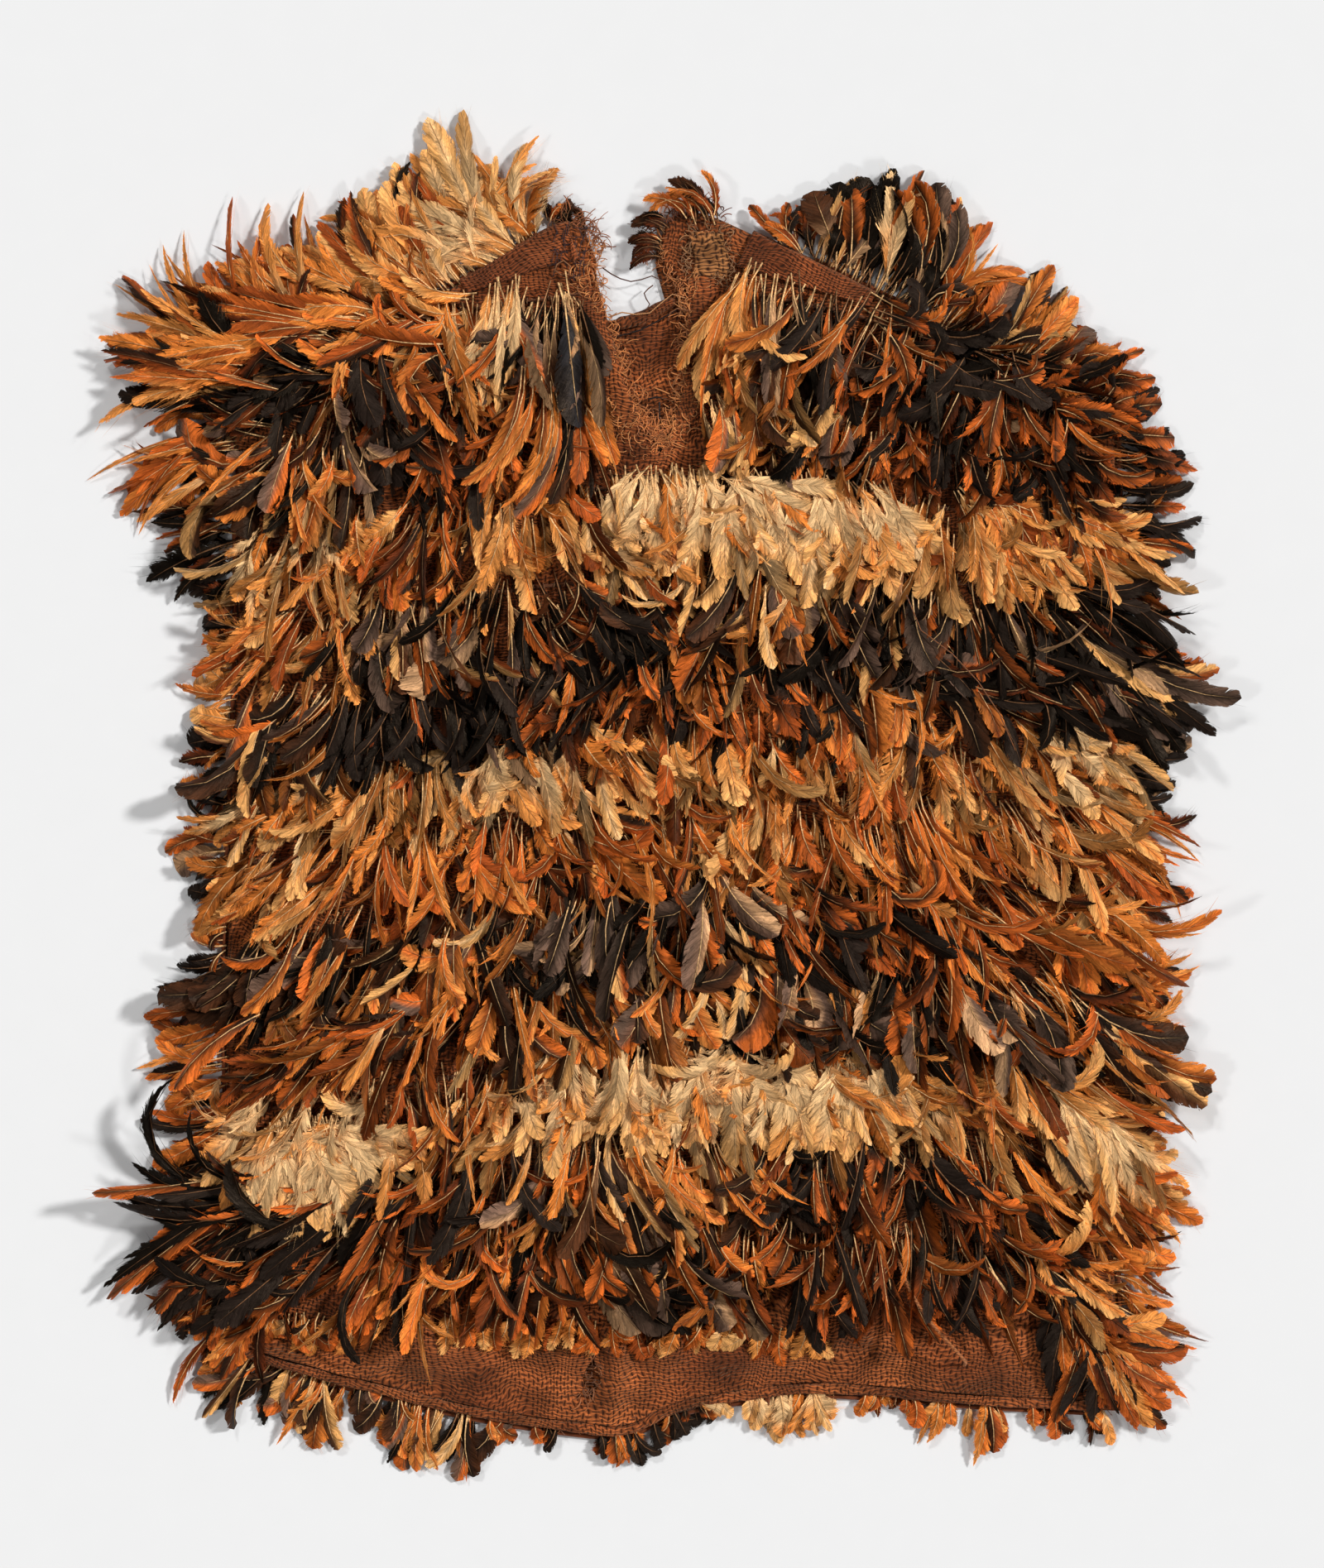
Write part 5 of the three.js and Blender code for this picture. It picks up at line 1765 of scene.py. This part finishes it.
@dataclass(frozen=True)
class ShoulderBand:
    """A bare band of cloth that turns over the shoulder edge."""

    name: str
    start: float
    end: float
    width_start: float
    width_end: float
    along: int = 44
    across: int = 18

    def build(self, finish: Material) -> Piece:
        """Makes the band.

        Args:
            finish: The cloth's material.

        Returns:
            The piece.
        """
        bm = bmesh.new()
        bmesh.ops.create_grid(bm, x_segments=self.along, y_segments=self.across, size=0.5)
        places = {}
        for vert in bm.verts:
            share, fall = vert.co.x + 0.5, 0.5 - vert.co.y
            x = self.start + (self.end - self.start) * share
            y = float(curve_at(SHOULDER_LINE, x))
            out = away_from_shoulder(x)
            width = self.width_start + (self.width_end - self.width_start) * share
            inner = float(front_top(x - out[0] * width, y - out[1] * width)) + 2 * SEAM_GAP
            edge = float(front_top(x, y)) + 2 * SEAM_GAP
            section = (
                (-width, inner + CLOTH_WALL), (4 * SEAM_GAP, edge + CLOTH_WALL),
                (SEAM_GAP + BAND_BULGE + CLOTH_WALL, edge / 2), (SEAM_GAP + BAND_FOOT + CLOTH_WALL, 0.0),
            )
            walk = np.concatenate([[0], np.cumsum([math.dist(a, b) for a, b in zip(section, section[1:])])])
            place = (1 - fall) * walk[-1]
            away = float(np.interp(place, walk, [p[0] for p in section]))
            height = float(np.interp(place, walk, [p[1] for p in section]))
            puff = 0.7 * math.sin(0.21 * x + 2.0) * math.exp(-(((place - width * 0.5) / 9) ** 2))
            vert.co = (x + out[0] * away, y + out[1] * away, max(height + puff, 0.0))
            places[vert] = (x, place)
        map_cut(bm, places)
        bmesh.ops.recalc_face_normals(bm, faces=bm.faces)
        top = max(bm.faces, key=lambda f: f.calc_center_median().z)
        if top.normal.z < 0:
            bmesh.ops.reverse_faces(bm, faces=bm.faces)
        piece = walled_sheet(bm, f"{self.name}_cloth", CLOTH_WALL, finish, "band_cloth", self.name)
        return piece


@dataclass(frozen=True)
class NeckPatch:
    """A loose-weave patch sewn beside the neck on the right shoulder."""

    left: float = 20.0
    top: float = 376.0
    width: float = 23.0
    height: float = 29.0
    slant: float = 2.0
    wave: float = 2.0
    wall: float = 1.2

    def build(self, finish: Material) -> Piece:
        """Makes the patch.

        Args:
            finish: The cloth's material.

        Returns:
            The piece.
        """
        bm = bmesh.new()
        bmesh.ops.create_grid(bm, x_segments=24, y_segments=30, size=0.5)
        for vert in bm.verts:
            across, down = vert.co.x + 0.5, vert.co.y + 0.5
            x = self.left + across * self.width + self.wave * math.sin(5 * down)
            y = self.top - (1 - down) * self.height - across * self.slant
            ruck = 0.5 * math.sin(0.55 * x + 0.3 * y) + 0.3 * math.sin(0.9 * y)
            cloth = float(front_top(x, y) + crease_height(x, y))
            vert.co = (x, y, cloth + 2 * SEAM_GAP + self.wall + ruck)
        map_cut(bm)
        piece = walled_sheet(
            bm, "right_neck_patch_cloth", self.wall, finish, "patch_cloth", "right_neck_patch"
        )
        return piece


@dataclass(frozen=True)
class ClothRoll:
    """A rolled edge of cloth along a route."""

    name: str
    node: str
    radius: float
    around: int = 14
    end_points: int = 3
    end_size: float = 0.55

    def size_at(self, k: int, count: int) -> float:
        """How far the roll is rounded off at one of its points, 1 away from its ends."""
        from_end = min(k, count - 1 - k)
        if from_end >= self.end_points:
            return 1.0
        return self.end_size + (1 - self.end_size) * math.sin(math.pi * from_end / 6)

    def build(self, route: np.ndarray, finish: Material) -> Piece:
        """Makes the roll.

        Args:
            route: Its middle line.
            finish: The cloth's material.

        Returns:
            The piece.
        """
        bm = bmesh.new()
        count = len(route)
        bmesh.ops.create_grid(bm, x_segments=count - 1, y_segments=self.around, size=0.5)
        walked = walked_along(route)
        places = {}
        for vert in bm.verts:
            k = int(round((vert.co.x + 0.5) * (count - 1)))
            turn = (vert.co.y + 0.5) * math.tau
            along = Vector(route[min(k + 1, count - 1)] - route[max(k - 1, 0)]).normalized()
            side = along.cross(Vector((0, 0, 1))).normalized()
            up = side.cross(along)
            lump = 1 + 0.10 * math.sin(0.11 * walked[k] + 2 * math.sin(turn))
            lump = lump + 0.05 * math.sin(0.47 * walked[k])
            out = side * math.cos(turn) + up * math.sin(turn)
            vert.co = Vector(route[k]) + out * self.radius * self.size_at(k, count) * lump
            places[vert] = (walked[k], turn * self.radius)
        map_cut(bm, places)
        bmesh.ops.remove_doubles(bm, verts=bm.verts, dist=0.01)
        bmesh.ops.holes_fill(bm, edges=[e for e in bm.edges if e.is_boundary], sides=0)
        bmesh.ops.recalc_face_normals(bm, faces=bm.faces)
        return settle(finish_mesh(bm, self.name), finish, "ground_cloth", self.node)


def hem_route() -> np.ndarray:
    """The middle line of the front hem's roll."""
    x = np.linspace(CLOTH_LEFT + 4, CLOTH_RIGHT - 4, 240)
    y = curve_at(HEM_LINE, x)
    crease = np.maximum(0.5 * crease_height(x, y), -SEAM_GAP)
    rise = front_top(x, y) - CLOTH_WALL + HEM_ROLL_RADIUS + 2 * SEAM_GAP + crease
    return np.stack([x, y - HEM_ROLL_RADIUS - 3 * SEAM_GAP, rise], -1)


def nape_route() -> np.ndarray:
    """The middle line of the nape's roll."""
    x = np.linspace(-31, 9, 30)
    y = curve_at(NAPE_LINE, x) - NAPE_ROLL_RADIUS - 0.8
    return np.stack([x, y, np.full_like(x, CLOTH_WALL + 1.2 + NAPE_ROLL_RADIUS)], -1)


# ---- Threads and cords ----


@dataclass
class Spool:
    """Threads that are laid out, before they become one mesh."""

    spines: list = field(default_factory=list)
    radii: list = field(default_factory=list)
    colours: list = field(default_factory=list)

    def add(self, spine: np.ndarray, radius: float, colour: Colour, glow: float = 1.0) -> None:
        """Adds one thread.

        Args:
            spine: Its points.
            radius: Its radius.
            colour: Its colour, from 0 to 255.
            glow: How much lighter or darker it is.
        """
        self.spines.append(np.asarray(spine, float))
        self.radii.append(radius)
        self.colours.append(linear(colour) * glow)

    def mesh(self, name: str, segments: int = 8, sides: int = 4) -> Piece:
        """Makes the joined mesh of every thread.

        Args:
            name: The piece's name.
            segments: How many stretches each thread has.
            sides: How many faces go round it.

        Returns:
            The new object.
        """
        bm = bmesh.new()
        tube(bm, True, sides, 0.8, segments)
        flat, faces = np.array([v.co for v in bm.verts]), faces_of(bm)
        bm.free()
        spine = np.stack([resample(s, segments + 1) for s in self.spines])
        level = np.clip(np.round((flat[:, 2] + 0.5) * segments).astype(int), 0, segments)
        along = unit(spine[:, np.minimum(level + 1, segments)] - spine[:, np.maximum(level - 1, 0)])
        side = unit(np.cross(along, np.array([0.13, 0.07, 1.0])))
        up = np.cross(side, along)
        radius = np.array(self.radii)[:, None, None]
        place = spine[:, level] + (side * flat[None, :, :1] + up * flat[None, :, 1:2]) * radius
        place[..., 2] = np.maximum(place[..., 2], 0.05)
        colour = np.ones((*place.shape[:2], 4))
        colour[..., :3] = np.array(self.colours)[:, None]
        uv = np.stack([flat[:, 2] + 0.5, np.arctan2(flat[:, 1], flat[:, 0]) / math.tau + 0.5], -1)
        bundle = Bundle()
        bundle.add(place, colour, uv, faces)
        return bundle.mesh(name)


def resample(points: np.ndarray, count: int) -> np.ndarray:
    """Places points evenly along a line.

    Args:
        points: The line's points.
        count: How many are wanted.

    Returns:
        The new points.
    """
    walked = walked_along(points)
    stops = np.linspace(0, walked[-1], count)
    return np.stack([np.interp(stops, walked, points[:, i]) for i in range(points.shape[1])], -1)


def rounded(points: tuple, count: int) -> np.ndarray:
    """Draws a smooth line through a few points.

    Args:
        points: The points that it passes.
        count: How many points it gets.

    Returns:
        The line's points, evenly placed.
    """
    knots = np.array(points, float)
    padded = np.concatenate([knots[:1] * 2 - knots[1:2], knots, knots[-1:] * 2 - knots[-2:-1]])
    line = []
    for a, b, c, d in zip(padded, padded[1:], padded[2:], padded[3:]):
        t = np.linspace(0, 1, 12, endpoint=False)[:, None]
        square, cube = 2 * a - 5 * b + 4 * c - d, 3 * b - a - 3 * c + d
        line.append(0.5 * (2 * b + (c - a) * t + square * t**2 + cube * t**3))
    line.append(knots[-1:])
    return resample(np.concatenate(line), count)


LOOSE_CORD_ROUTE = (
    (155.8, -300, 7.2), (156.4, -304, 8.4), (157.4, -309, 10.6), (159, -315, 14.6), (161.5, -322, 18.4),
    (165, -330, 21.4), (170, -338.5, 24.4), (176, -347, 27), (182.5, -355, 28.6), (189, -362, 30.6),
    (194.5, -368, 31.6), (199.2, -373.4, 29.2), (201.6, -377, 21), (201.4, -380.5, 13.6),
    (199.8, -386.5, 11.2), (196.8, -393, 9.6), (193, -399, 8.8),
)


@dataclass(frozen=True)
class LooseCord:
    """A two-ply cord end that lies over the last row, knotted near its tip."""

    diameter: float = 2.8
    strand: float = 0.78
    offset: float = 0.62
    turn_length: float = 5.2
    points: int = 140
    knot_at: float = 0.9
    colour: Colour = (176, 108, 62)
    knot_colour: Colour = (160, 96, 54)

    def build(self, finish: Material) -> Piece:
        """Makes the cord.

        Args:
            finish: The yarn's material.

        Returns:
            The piece.
        """
        middle = rounded(LOOSE_CORD_ROUTE, self.points)
        walked = walked_along(middle)
        along = unit(np.gradient(middle, axis=0))
        side = unit(np.cross(along, np.array([0.2, 0.1, 1.0])))
        up = np.cross(side, along)
        spool = Spool()
        for phase in (0.0, math.pi):
            turn = (walked / self.turn_length * math.tau + phase)[:, None]
            strand = middle + (side * np.cos(turn) + up * np.sin(turn)) * self.offset
            spool.add(strand, self.strand, self.colour)
        at = int(self.points * self.knot_at)
        t = np.linspace(0, 2.3 * math.tau, 140)[:, None]
        drift = along[at] * (t - t.mean()) * 0.12
        knot = middle[at] + (side[at] * np.cos(t) + up[at] * np.sin(t)) * 0.9 + drift
        spool.add(knot, 0.5, self.knot_colour)
        piece = spool.mesh("loose_cord_yarn", segments=self.points - 1, sides=6)
        settle(piece, finish, "cord", "loose_cord")
        return piece


@dataclass(frozen=True)
class Bindings:
    """The cords that carry the feathers, and the yarn wound over them."""

    wind: float = 7.0
    radius: float = 1.1
    outer_radius: float = 1.9
    outer_inset: float = 0.9
    yarn_radius: float = 0.38
    cord_colour: Colour = (104, 60, 34)
    outer_colour: Colour = (118, 60, 30)
    yarn_colour: Colour = (176, 126, 78)

    def build(self, finish: Material) -> list[Piece]:
        """Makes the cords and the winding.

        Args:
            finish: The yarn's material.

        Returns:
            The pieces.
        """
        cords, turns = Spool(), Spool()
        rng = np.random.default_rng(71)
        for row in FRONT_ROWS:
            x = np.linspace(row.left, row.right, 120)
            y = row.path(x)
            z = front_top(x, y) + CORD_LIFT + 1.5
            route = np.stack([x, y, z], -1)
            self.cord(cords, turns, route, rng)
        for row in OUTER_ROWS:
            route = []
            for t in np.linspace(0, 1, 120):
                (x, y), out = row.place(t)
                inward = self.outer_inset * math.cos(out), self.outer_inset * math.sin(out)
                route.append((x - inward[0], y - inward[1], FLOOR_GAP + 1.6))
            cords.add(np.array(route), self.outer_radius, self.outer_colour)
        cord_piece = cords.mesh("binding_cords", segments=119, sides=6)
        turn_piece = turns.mesh("binding_yarn", segments=6, sides=3)
        settle(cord_piece, finish, "cord")
        settle(turn_piece, finish, "cord")
        return [cord_piece, turn_piece]

    def cord(self, cords: Spool, turns: Spool, route: np.ndarray, rng: Chances) -> None:
        """Lays one cord and its winding.

        Args:
            cords: Where the cord goes.
            turns: Where the winding goes.
            route: The cord's middle line.
            rng: The row of chances.
        """
        cords.add(route, self.radius, self.cord_colour)
        length = float(np.linalg.norm(np.diff(route, axis=0), axis=1).sum())
        even = resample(route, max(int(length / self.wind), 2))
        for here, ahead in zip(even, even[1:]):
            along = (ahead - here) / np.linalg.norm(ahead - here)
            out = np.array([along[1], -along[0], 0.0])
            t = np.linspace(-0.2, math.pi + 0.4, 9)[:, None]
            loop = here + out * np.cos(t) * 1.9 + np.array([0, 0, 1.0]) * np.sin(t) * 1.7
            loop = loop + along * (t - 1.6) * rng.normal(0.5, 0.4)
            turns.add(loop, self.yarn_radius, self.yarn_colour, rng.uniform(0.4, 1.0))


@dataclass(frozen=True)
class FrayedEdge:
    """Loose yarns along a torn or cut edge."""

    corners: tuple[Spot, ...]
    count: int
    reach: float
    outward: float
    colour: Colour
    spread: float = 1.2

    def lay(self, spool: Spool, rng: Chances) -> None:
        """Lays the yarns.

        Args:
            spool: Where they go.
            rng: The row of chances.
        """
        line = resample(np.array(self.corners, float), 200)
        along = unit(np.gradient(line, axis=0))
        for _ in range(self.count):
            k = int(rng.integers(len(line)))
            here = line[k] + rng.normal(0, self.spread, 2)
            out = np.array([along[k][1], -along[k][0]]) * self.outward
            swing = rng.normal(0, 0.7)
            cos, sin = math.cos(swing), math.sin(swing)
            out = np.array([out[0] * cos - out[1] * sin, out[0] * sin + out[1] * cos])
            long = self.reach * rng.uniform(0.35, 1.3)
            curl = rng.normal(0, 2.2)
            t = np.linspace(0, 1, 9)
            angle = math.atan2(out[1], out[0]) + curl * t
            step = long / 8
            plan = here + np.stack([np.cumsum(np.cos(angle)), np.cumsum(np.sin(angle))], -1) * step
            start = float(front_top(here[0], here[1])) - 0.6
            height = start + 0.6 + rng.uniform(0.2, 3.4) * np.sin(np.pi * t * rng.uniform(0.5, 1.1))
            spine = np.column_stack([plan, np.maximum(height, 0.6)])
            spool.add(spine, rng.uniform(0.24, 0.56), self.colour, rng.uniform(0.6, 1.7))


FRAYED_EDGES = (
    FrayedEdge(((-46, 372), (-46, 346), (-39, 318), (-27, 275)), 190, 8, -1, (226, 144, 78), 2.8),
    FrayedEdge(((-50, 350), (-44, 316), (-33, 276), (-18, 240)), 240, 12, 1, (232, 154, 86), 5.0),
    FrayedEdge(((-26, 272), (-10, 238), (-1.5, 224), (6, 238), (15, 266)), 280, 9, -1, (222, 138, 72), 3.2),
    FrayedEdge(((-18, 246), (-3, 238), (10, 248)), 120, 9, -1, (216, 132, 70), 4.0),
    FrayedEdge(((16, 268), (19, 300), (19, 338), (0, 358), (-1, 372)), 170, 8, -1, (220, 138, 74), 2.8),
    FrayedEdge(((25, 340), (25, 300), (22, 270), (11, 236)), 240, 12, 1, (232, 154, 86), 5.0),
    FrayedEdge(((-66, 382), (-52, 378), (-44, 366)), 70, 13, -1, (170, 98, 54), 2.4),
    FrayedEdge(((-4, 372), (2, 382), (16, 390), (38, 386)), 80, 12, -1, (140, 76, 42), 2.4),
    FrayedEdge(((20, 376), (20, 348), (42, 345)), 70, 9, 1, (186, 132, 84), 2.4),
    FrayedEdge(((42, 345), (44, 374), (20, 376)), 50, 7, 1, (186, 132, 84), 2.0),
    FrayedEdge(((-286, -366), (-220, -385), (-132, -407), (-55, -419)), 60, 7, 1, (160, 92, 48), 2.0),
    FrayedEdge(((-22, -420), (8, -406), (110, -393), (220, -401), (300, -405)), 70, 8, 1, (160, 92, 48), 2.0),
    FrayedEdge(((-54, -402), (-42, -392), (-50, -378)), 40, 9, 1, (176, 108, 60), 2.0),
)

# Single long yarns: their points and colour. The near-black ones are painted shadow: a line of shade below
# the nape roll, and the shade in the neck slit
STRAY_YARNS_AND_SHADOW_LINES = (
    # Near-black yarn below the nape roll: painted shadow of the roll
    (((-40, 304.5, 5.0), (-28, 306.5, 5.4), (-14, 310.4, 5.6), (0, 318, 5.6), (10, 324, 5.4)), (20, 9, 5)),
    (((-36, 318, 9), (-24, 322, 10), (-12, 319, 10.5), (0, 328, 10.5), (8, 334, 10), (16, 331, 9)),
     (222, 158, 100)),
    (((162, 132, 27), (170, 110, 30), (192, 93, 31), (212, 71, 30), (228, 44, 29), (242, 6, 27)),
     (150, 90, 48)),
    (((-40, 352, 6), (-30, 345, 9), (-18, 342, 9), (-8, 346, 9), (0, 343, 8)), (96, 54, 34)),
    (((-6, 340, 7), (-12, 334, 9), (-8, 326, 9), (-14, 322, 8)), (110, 62, 36)),
    (((-72, 348, 10), (-68, 356, 12), (-61, 352, 12), (-64, 345, 11), (-72, 350, 10)), (176, 116, 70)),
    (((30, 330, 10), (22, 322, 12), (8, 324, 10), (4, 316, 8)), (170, 106, 60)),
    # Near-black yarns in the narrow slit at the bottom of the neck opening: painted shade
    (((-1.5, 262, 7.4), (-2, 250, 7.6), (-1, 240, 7.4), (-1.5, 229, 7.0)), (20, 9, 5)),
    (((-9, 264, 7.6), (-4, 265, 7.8), (3, 264, 7.4)), (18, 8, 5)),
)


@dataclass(frozen=True)
class LooseYarns:
    """Frayed yarns, darning, the broken yarns across the rip, and single long yarns, some near-black as
    painted shadow.
    """

    darn_colour: Colour = (64, 36, 38)
    yarn_colour: Colour = (150, 92, 52)

    def build(self, finish: Material) -> Piece:
        """Makes the yarns.

        Args:
            finish: The yarn's material.

        Returns:
            The piece.
        """
        spool = Spool()
        rng = np.random.default_rng(91)
        for edge in FRAYED_EDGES:
            edge.lay(spool, rng)
        self.darn(spool, rng)
        self.bridge_rip(spool, rng)
        # Some of these are near-black lines of painted shadow
        for points, colour in STRAY_YARNS_AND_SHADOW_LINES:
            spool.add(rounded(points, 40), 0.55, colour)
        piece = spool.mesh("frayed_yarns_and_shadow_lines", segments=6, sides=3)
        return settle(piece, finish, "cord")

    def darn(self, spool: Spool, rng: Chances) -> None:
        """Sews the dark darning beside the left of the neck.

        Args:
            spool: Where its yarns go.
            rng: The row of chances.
        """
        for _ in range(42):
            x, y = rng.uniform(-74, -50), rng.uniform(345, 378)
            angle = rng.choice([0.2, 1.5]) + rng.normal(0, 0.25)
            long = rng.uniform(5, 13)
            t = np.linspace(-0.5, 0.5, 8)
            px, py = x + np.cos(angle) * long * t, y + np.sin(angle) * long * t
            z = front_top(px, py) + 2 * SEAM_GAP + CLOTH_WALL + 0.5 * np.sin(np.pi * (t + 0.5)) + 0.2
            spool.add(np.column_stack([px, py, z]), 0.34, self.darn_colour, rng.uniform(0.6, 1.5))

    def bridge_rip(self, spool: Spool, rng: Chances) -> None:
        """Draws the broken yarns across the rip above the hem.

        Args:
            spool: Where they go.
            rng: The row of chances.
        """
        for y in np.linspace(-401, -379, 12):
            t = np.linspace(0, 1, 8)
            cut = rng.uniform(0.35, 1.0)
            x = -55 + 16 * t * cut
            py = y + rng.normal(0, 0.8) * t
            z = front_top(x, py) - 0.8 - 0.6 * np.sin(np.pi * t)
            spool.add(np.column_stack([x, py, z]), 0.4, self.yarn_colour, rng.uniform(0.6, 1.1))


# ---- Studio ----


@dataclass(frozen=True)
class Studio:
    """The pale surface, the lamps round it and the camera straight above."""

    frame_height: float = 1.0423
    lens: float = 85.0
    sensor: float = 36.0
    focus_height: float = 0.018
    centre_y: float = 0.0069
    floor_size: float = 8.0
    lamp_spread: float = 7.0
    lamp_distance: float = 3.0
    room_glow: float = 0.15

    def place_camera(self) -> None:
        """Hangs the camera over the cape."""
        data = bpy.data.cameras.new("overhead_camera")
        data.lens = self.lens
        data.sensor_width = self.sensor
        camera = bpy.data.objects.new("overhead_camera", data)
        height = self.frame_height * self.lens / self.sensor + self.focus_height
        camera.location = (0.0, self.centre_y, height)
        bpy.context.scene.collection.objects.link(camera)
        bpy.context.scene.camera = camera

    def light(self) -> None:
        """Sets the lamps and the glow of the room."""
        lamps = (
            ("lamp_right", 22.0, 40.0, 2.35),
            ("lamp_top", 112.0, 44.0, 0.75),
            ("lamp_low_right", -58.0, 42.0, 0.62),
            ("lamp_left", 196.0, 46.0, 0.40),
        )
        for name, round_about, up, strength in lamps:
            data = bpy.data.lights.new(name, "SUN")
            data.angle = math.radians(self.lamp_spread)
            data.energy = strength
            lamp = bpy.data.objects.new(name, data)
            turn, lift = math.radians(round_about), math.radians(up)
            flat = math.cos(lift)
            toward = Vector((math.cos(turn) * flat, math.sin(turn) * flat, math.sin(lift)))
            lamp.location = toward * self.lamp_distance
            lamp.rotation_euler = (-toward).to_track_quat("-Z", "Y").to_euler()
            bpy.context.scene.collection.objects.link(lamp)
        world = bpy.data.worlds.new("studio_room")
        world.use_nodes = True
        glow = world.node_tree.nodes["Background"]
        glow.inputs["Color"].default_value = (1.0, 1.0, 1.0, 1.0)
        glow.inputs["Strength"].default_value = self.room_glow
        bpy.context.scene.world = world
        bpy.context.scene.view_settings.view_transform = "Standard"

    def lay_floor(self) -> None:
        """Lays the pale surface."""
        bm = bmesh.new()
        bmesh.ops.create_grid(bm, x_segments=8, y_segments=8, size=self.floor_size / MM / 2)
        floor = finish_mesh(bm, "floor")
        floor.data.materials.append(SurfaceFinish().material())


def main() -> None:
    """Builds the cape."""
    logging.basicConfig(level=logging.INFO, format="%(message)s")
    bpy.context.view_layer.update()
    studio = Studio()
    studio.place_camera()
    yarn = ThreadFinish().material()
    LooseCord().build(yarn)
    studio.light()
    studio.lay_floor()
    cloth = TabbyFinish("rust_tabby", (172, 94, 48), (118, 58, 28)).material()
    band_cloth = TabbyFinish(
        "band_tabby", (160, 84, 44), (104, 50, 26), warp_pitch=2.8, weft_pitch=2.2
    ).material()
    patch_cloth = TabbyFinish("patch_tabby", (196, 134, 80), (140, 84, 46), (58, 28, 14), 3.4, 3.2).material()
    BackPanel().build(cloth)
    FrontPanel().build(cloth)
    ShoulderBand("left_shoulder_band", -134, -62, 8, 26).build(band_cloth)
    ShoulderBand("right_shoulder_band", 60, 142, 24, 8).build(band_cloth)
    NeckPatch().build(patch_cloth)
    ClothRoll("front_hem_roll", "front_hem", HEM_ROLL_RADIUS + 0.5).build(hem_route(), cloth)
    ClothRoll("nape_roll_cloth", "nape_roll", NAPE_ROLL_RADIUS + 1.7).build(nape_route(), cloth)
    Bindings().build(yarn)
    LooseYarns().build(yarn)
    Plumage(FeatherFinish().material()).build()


if __name__ == "__main__":
    main()
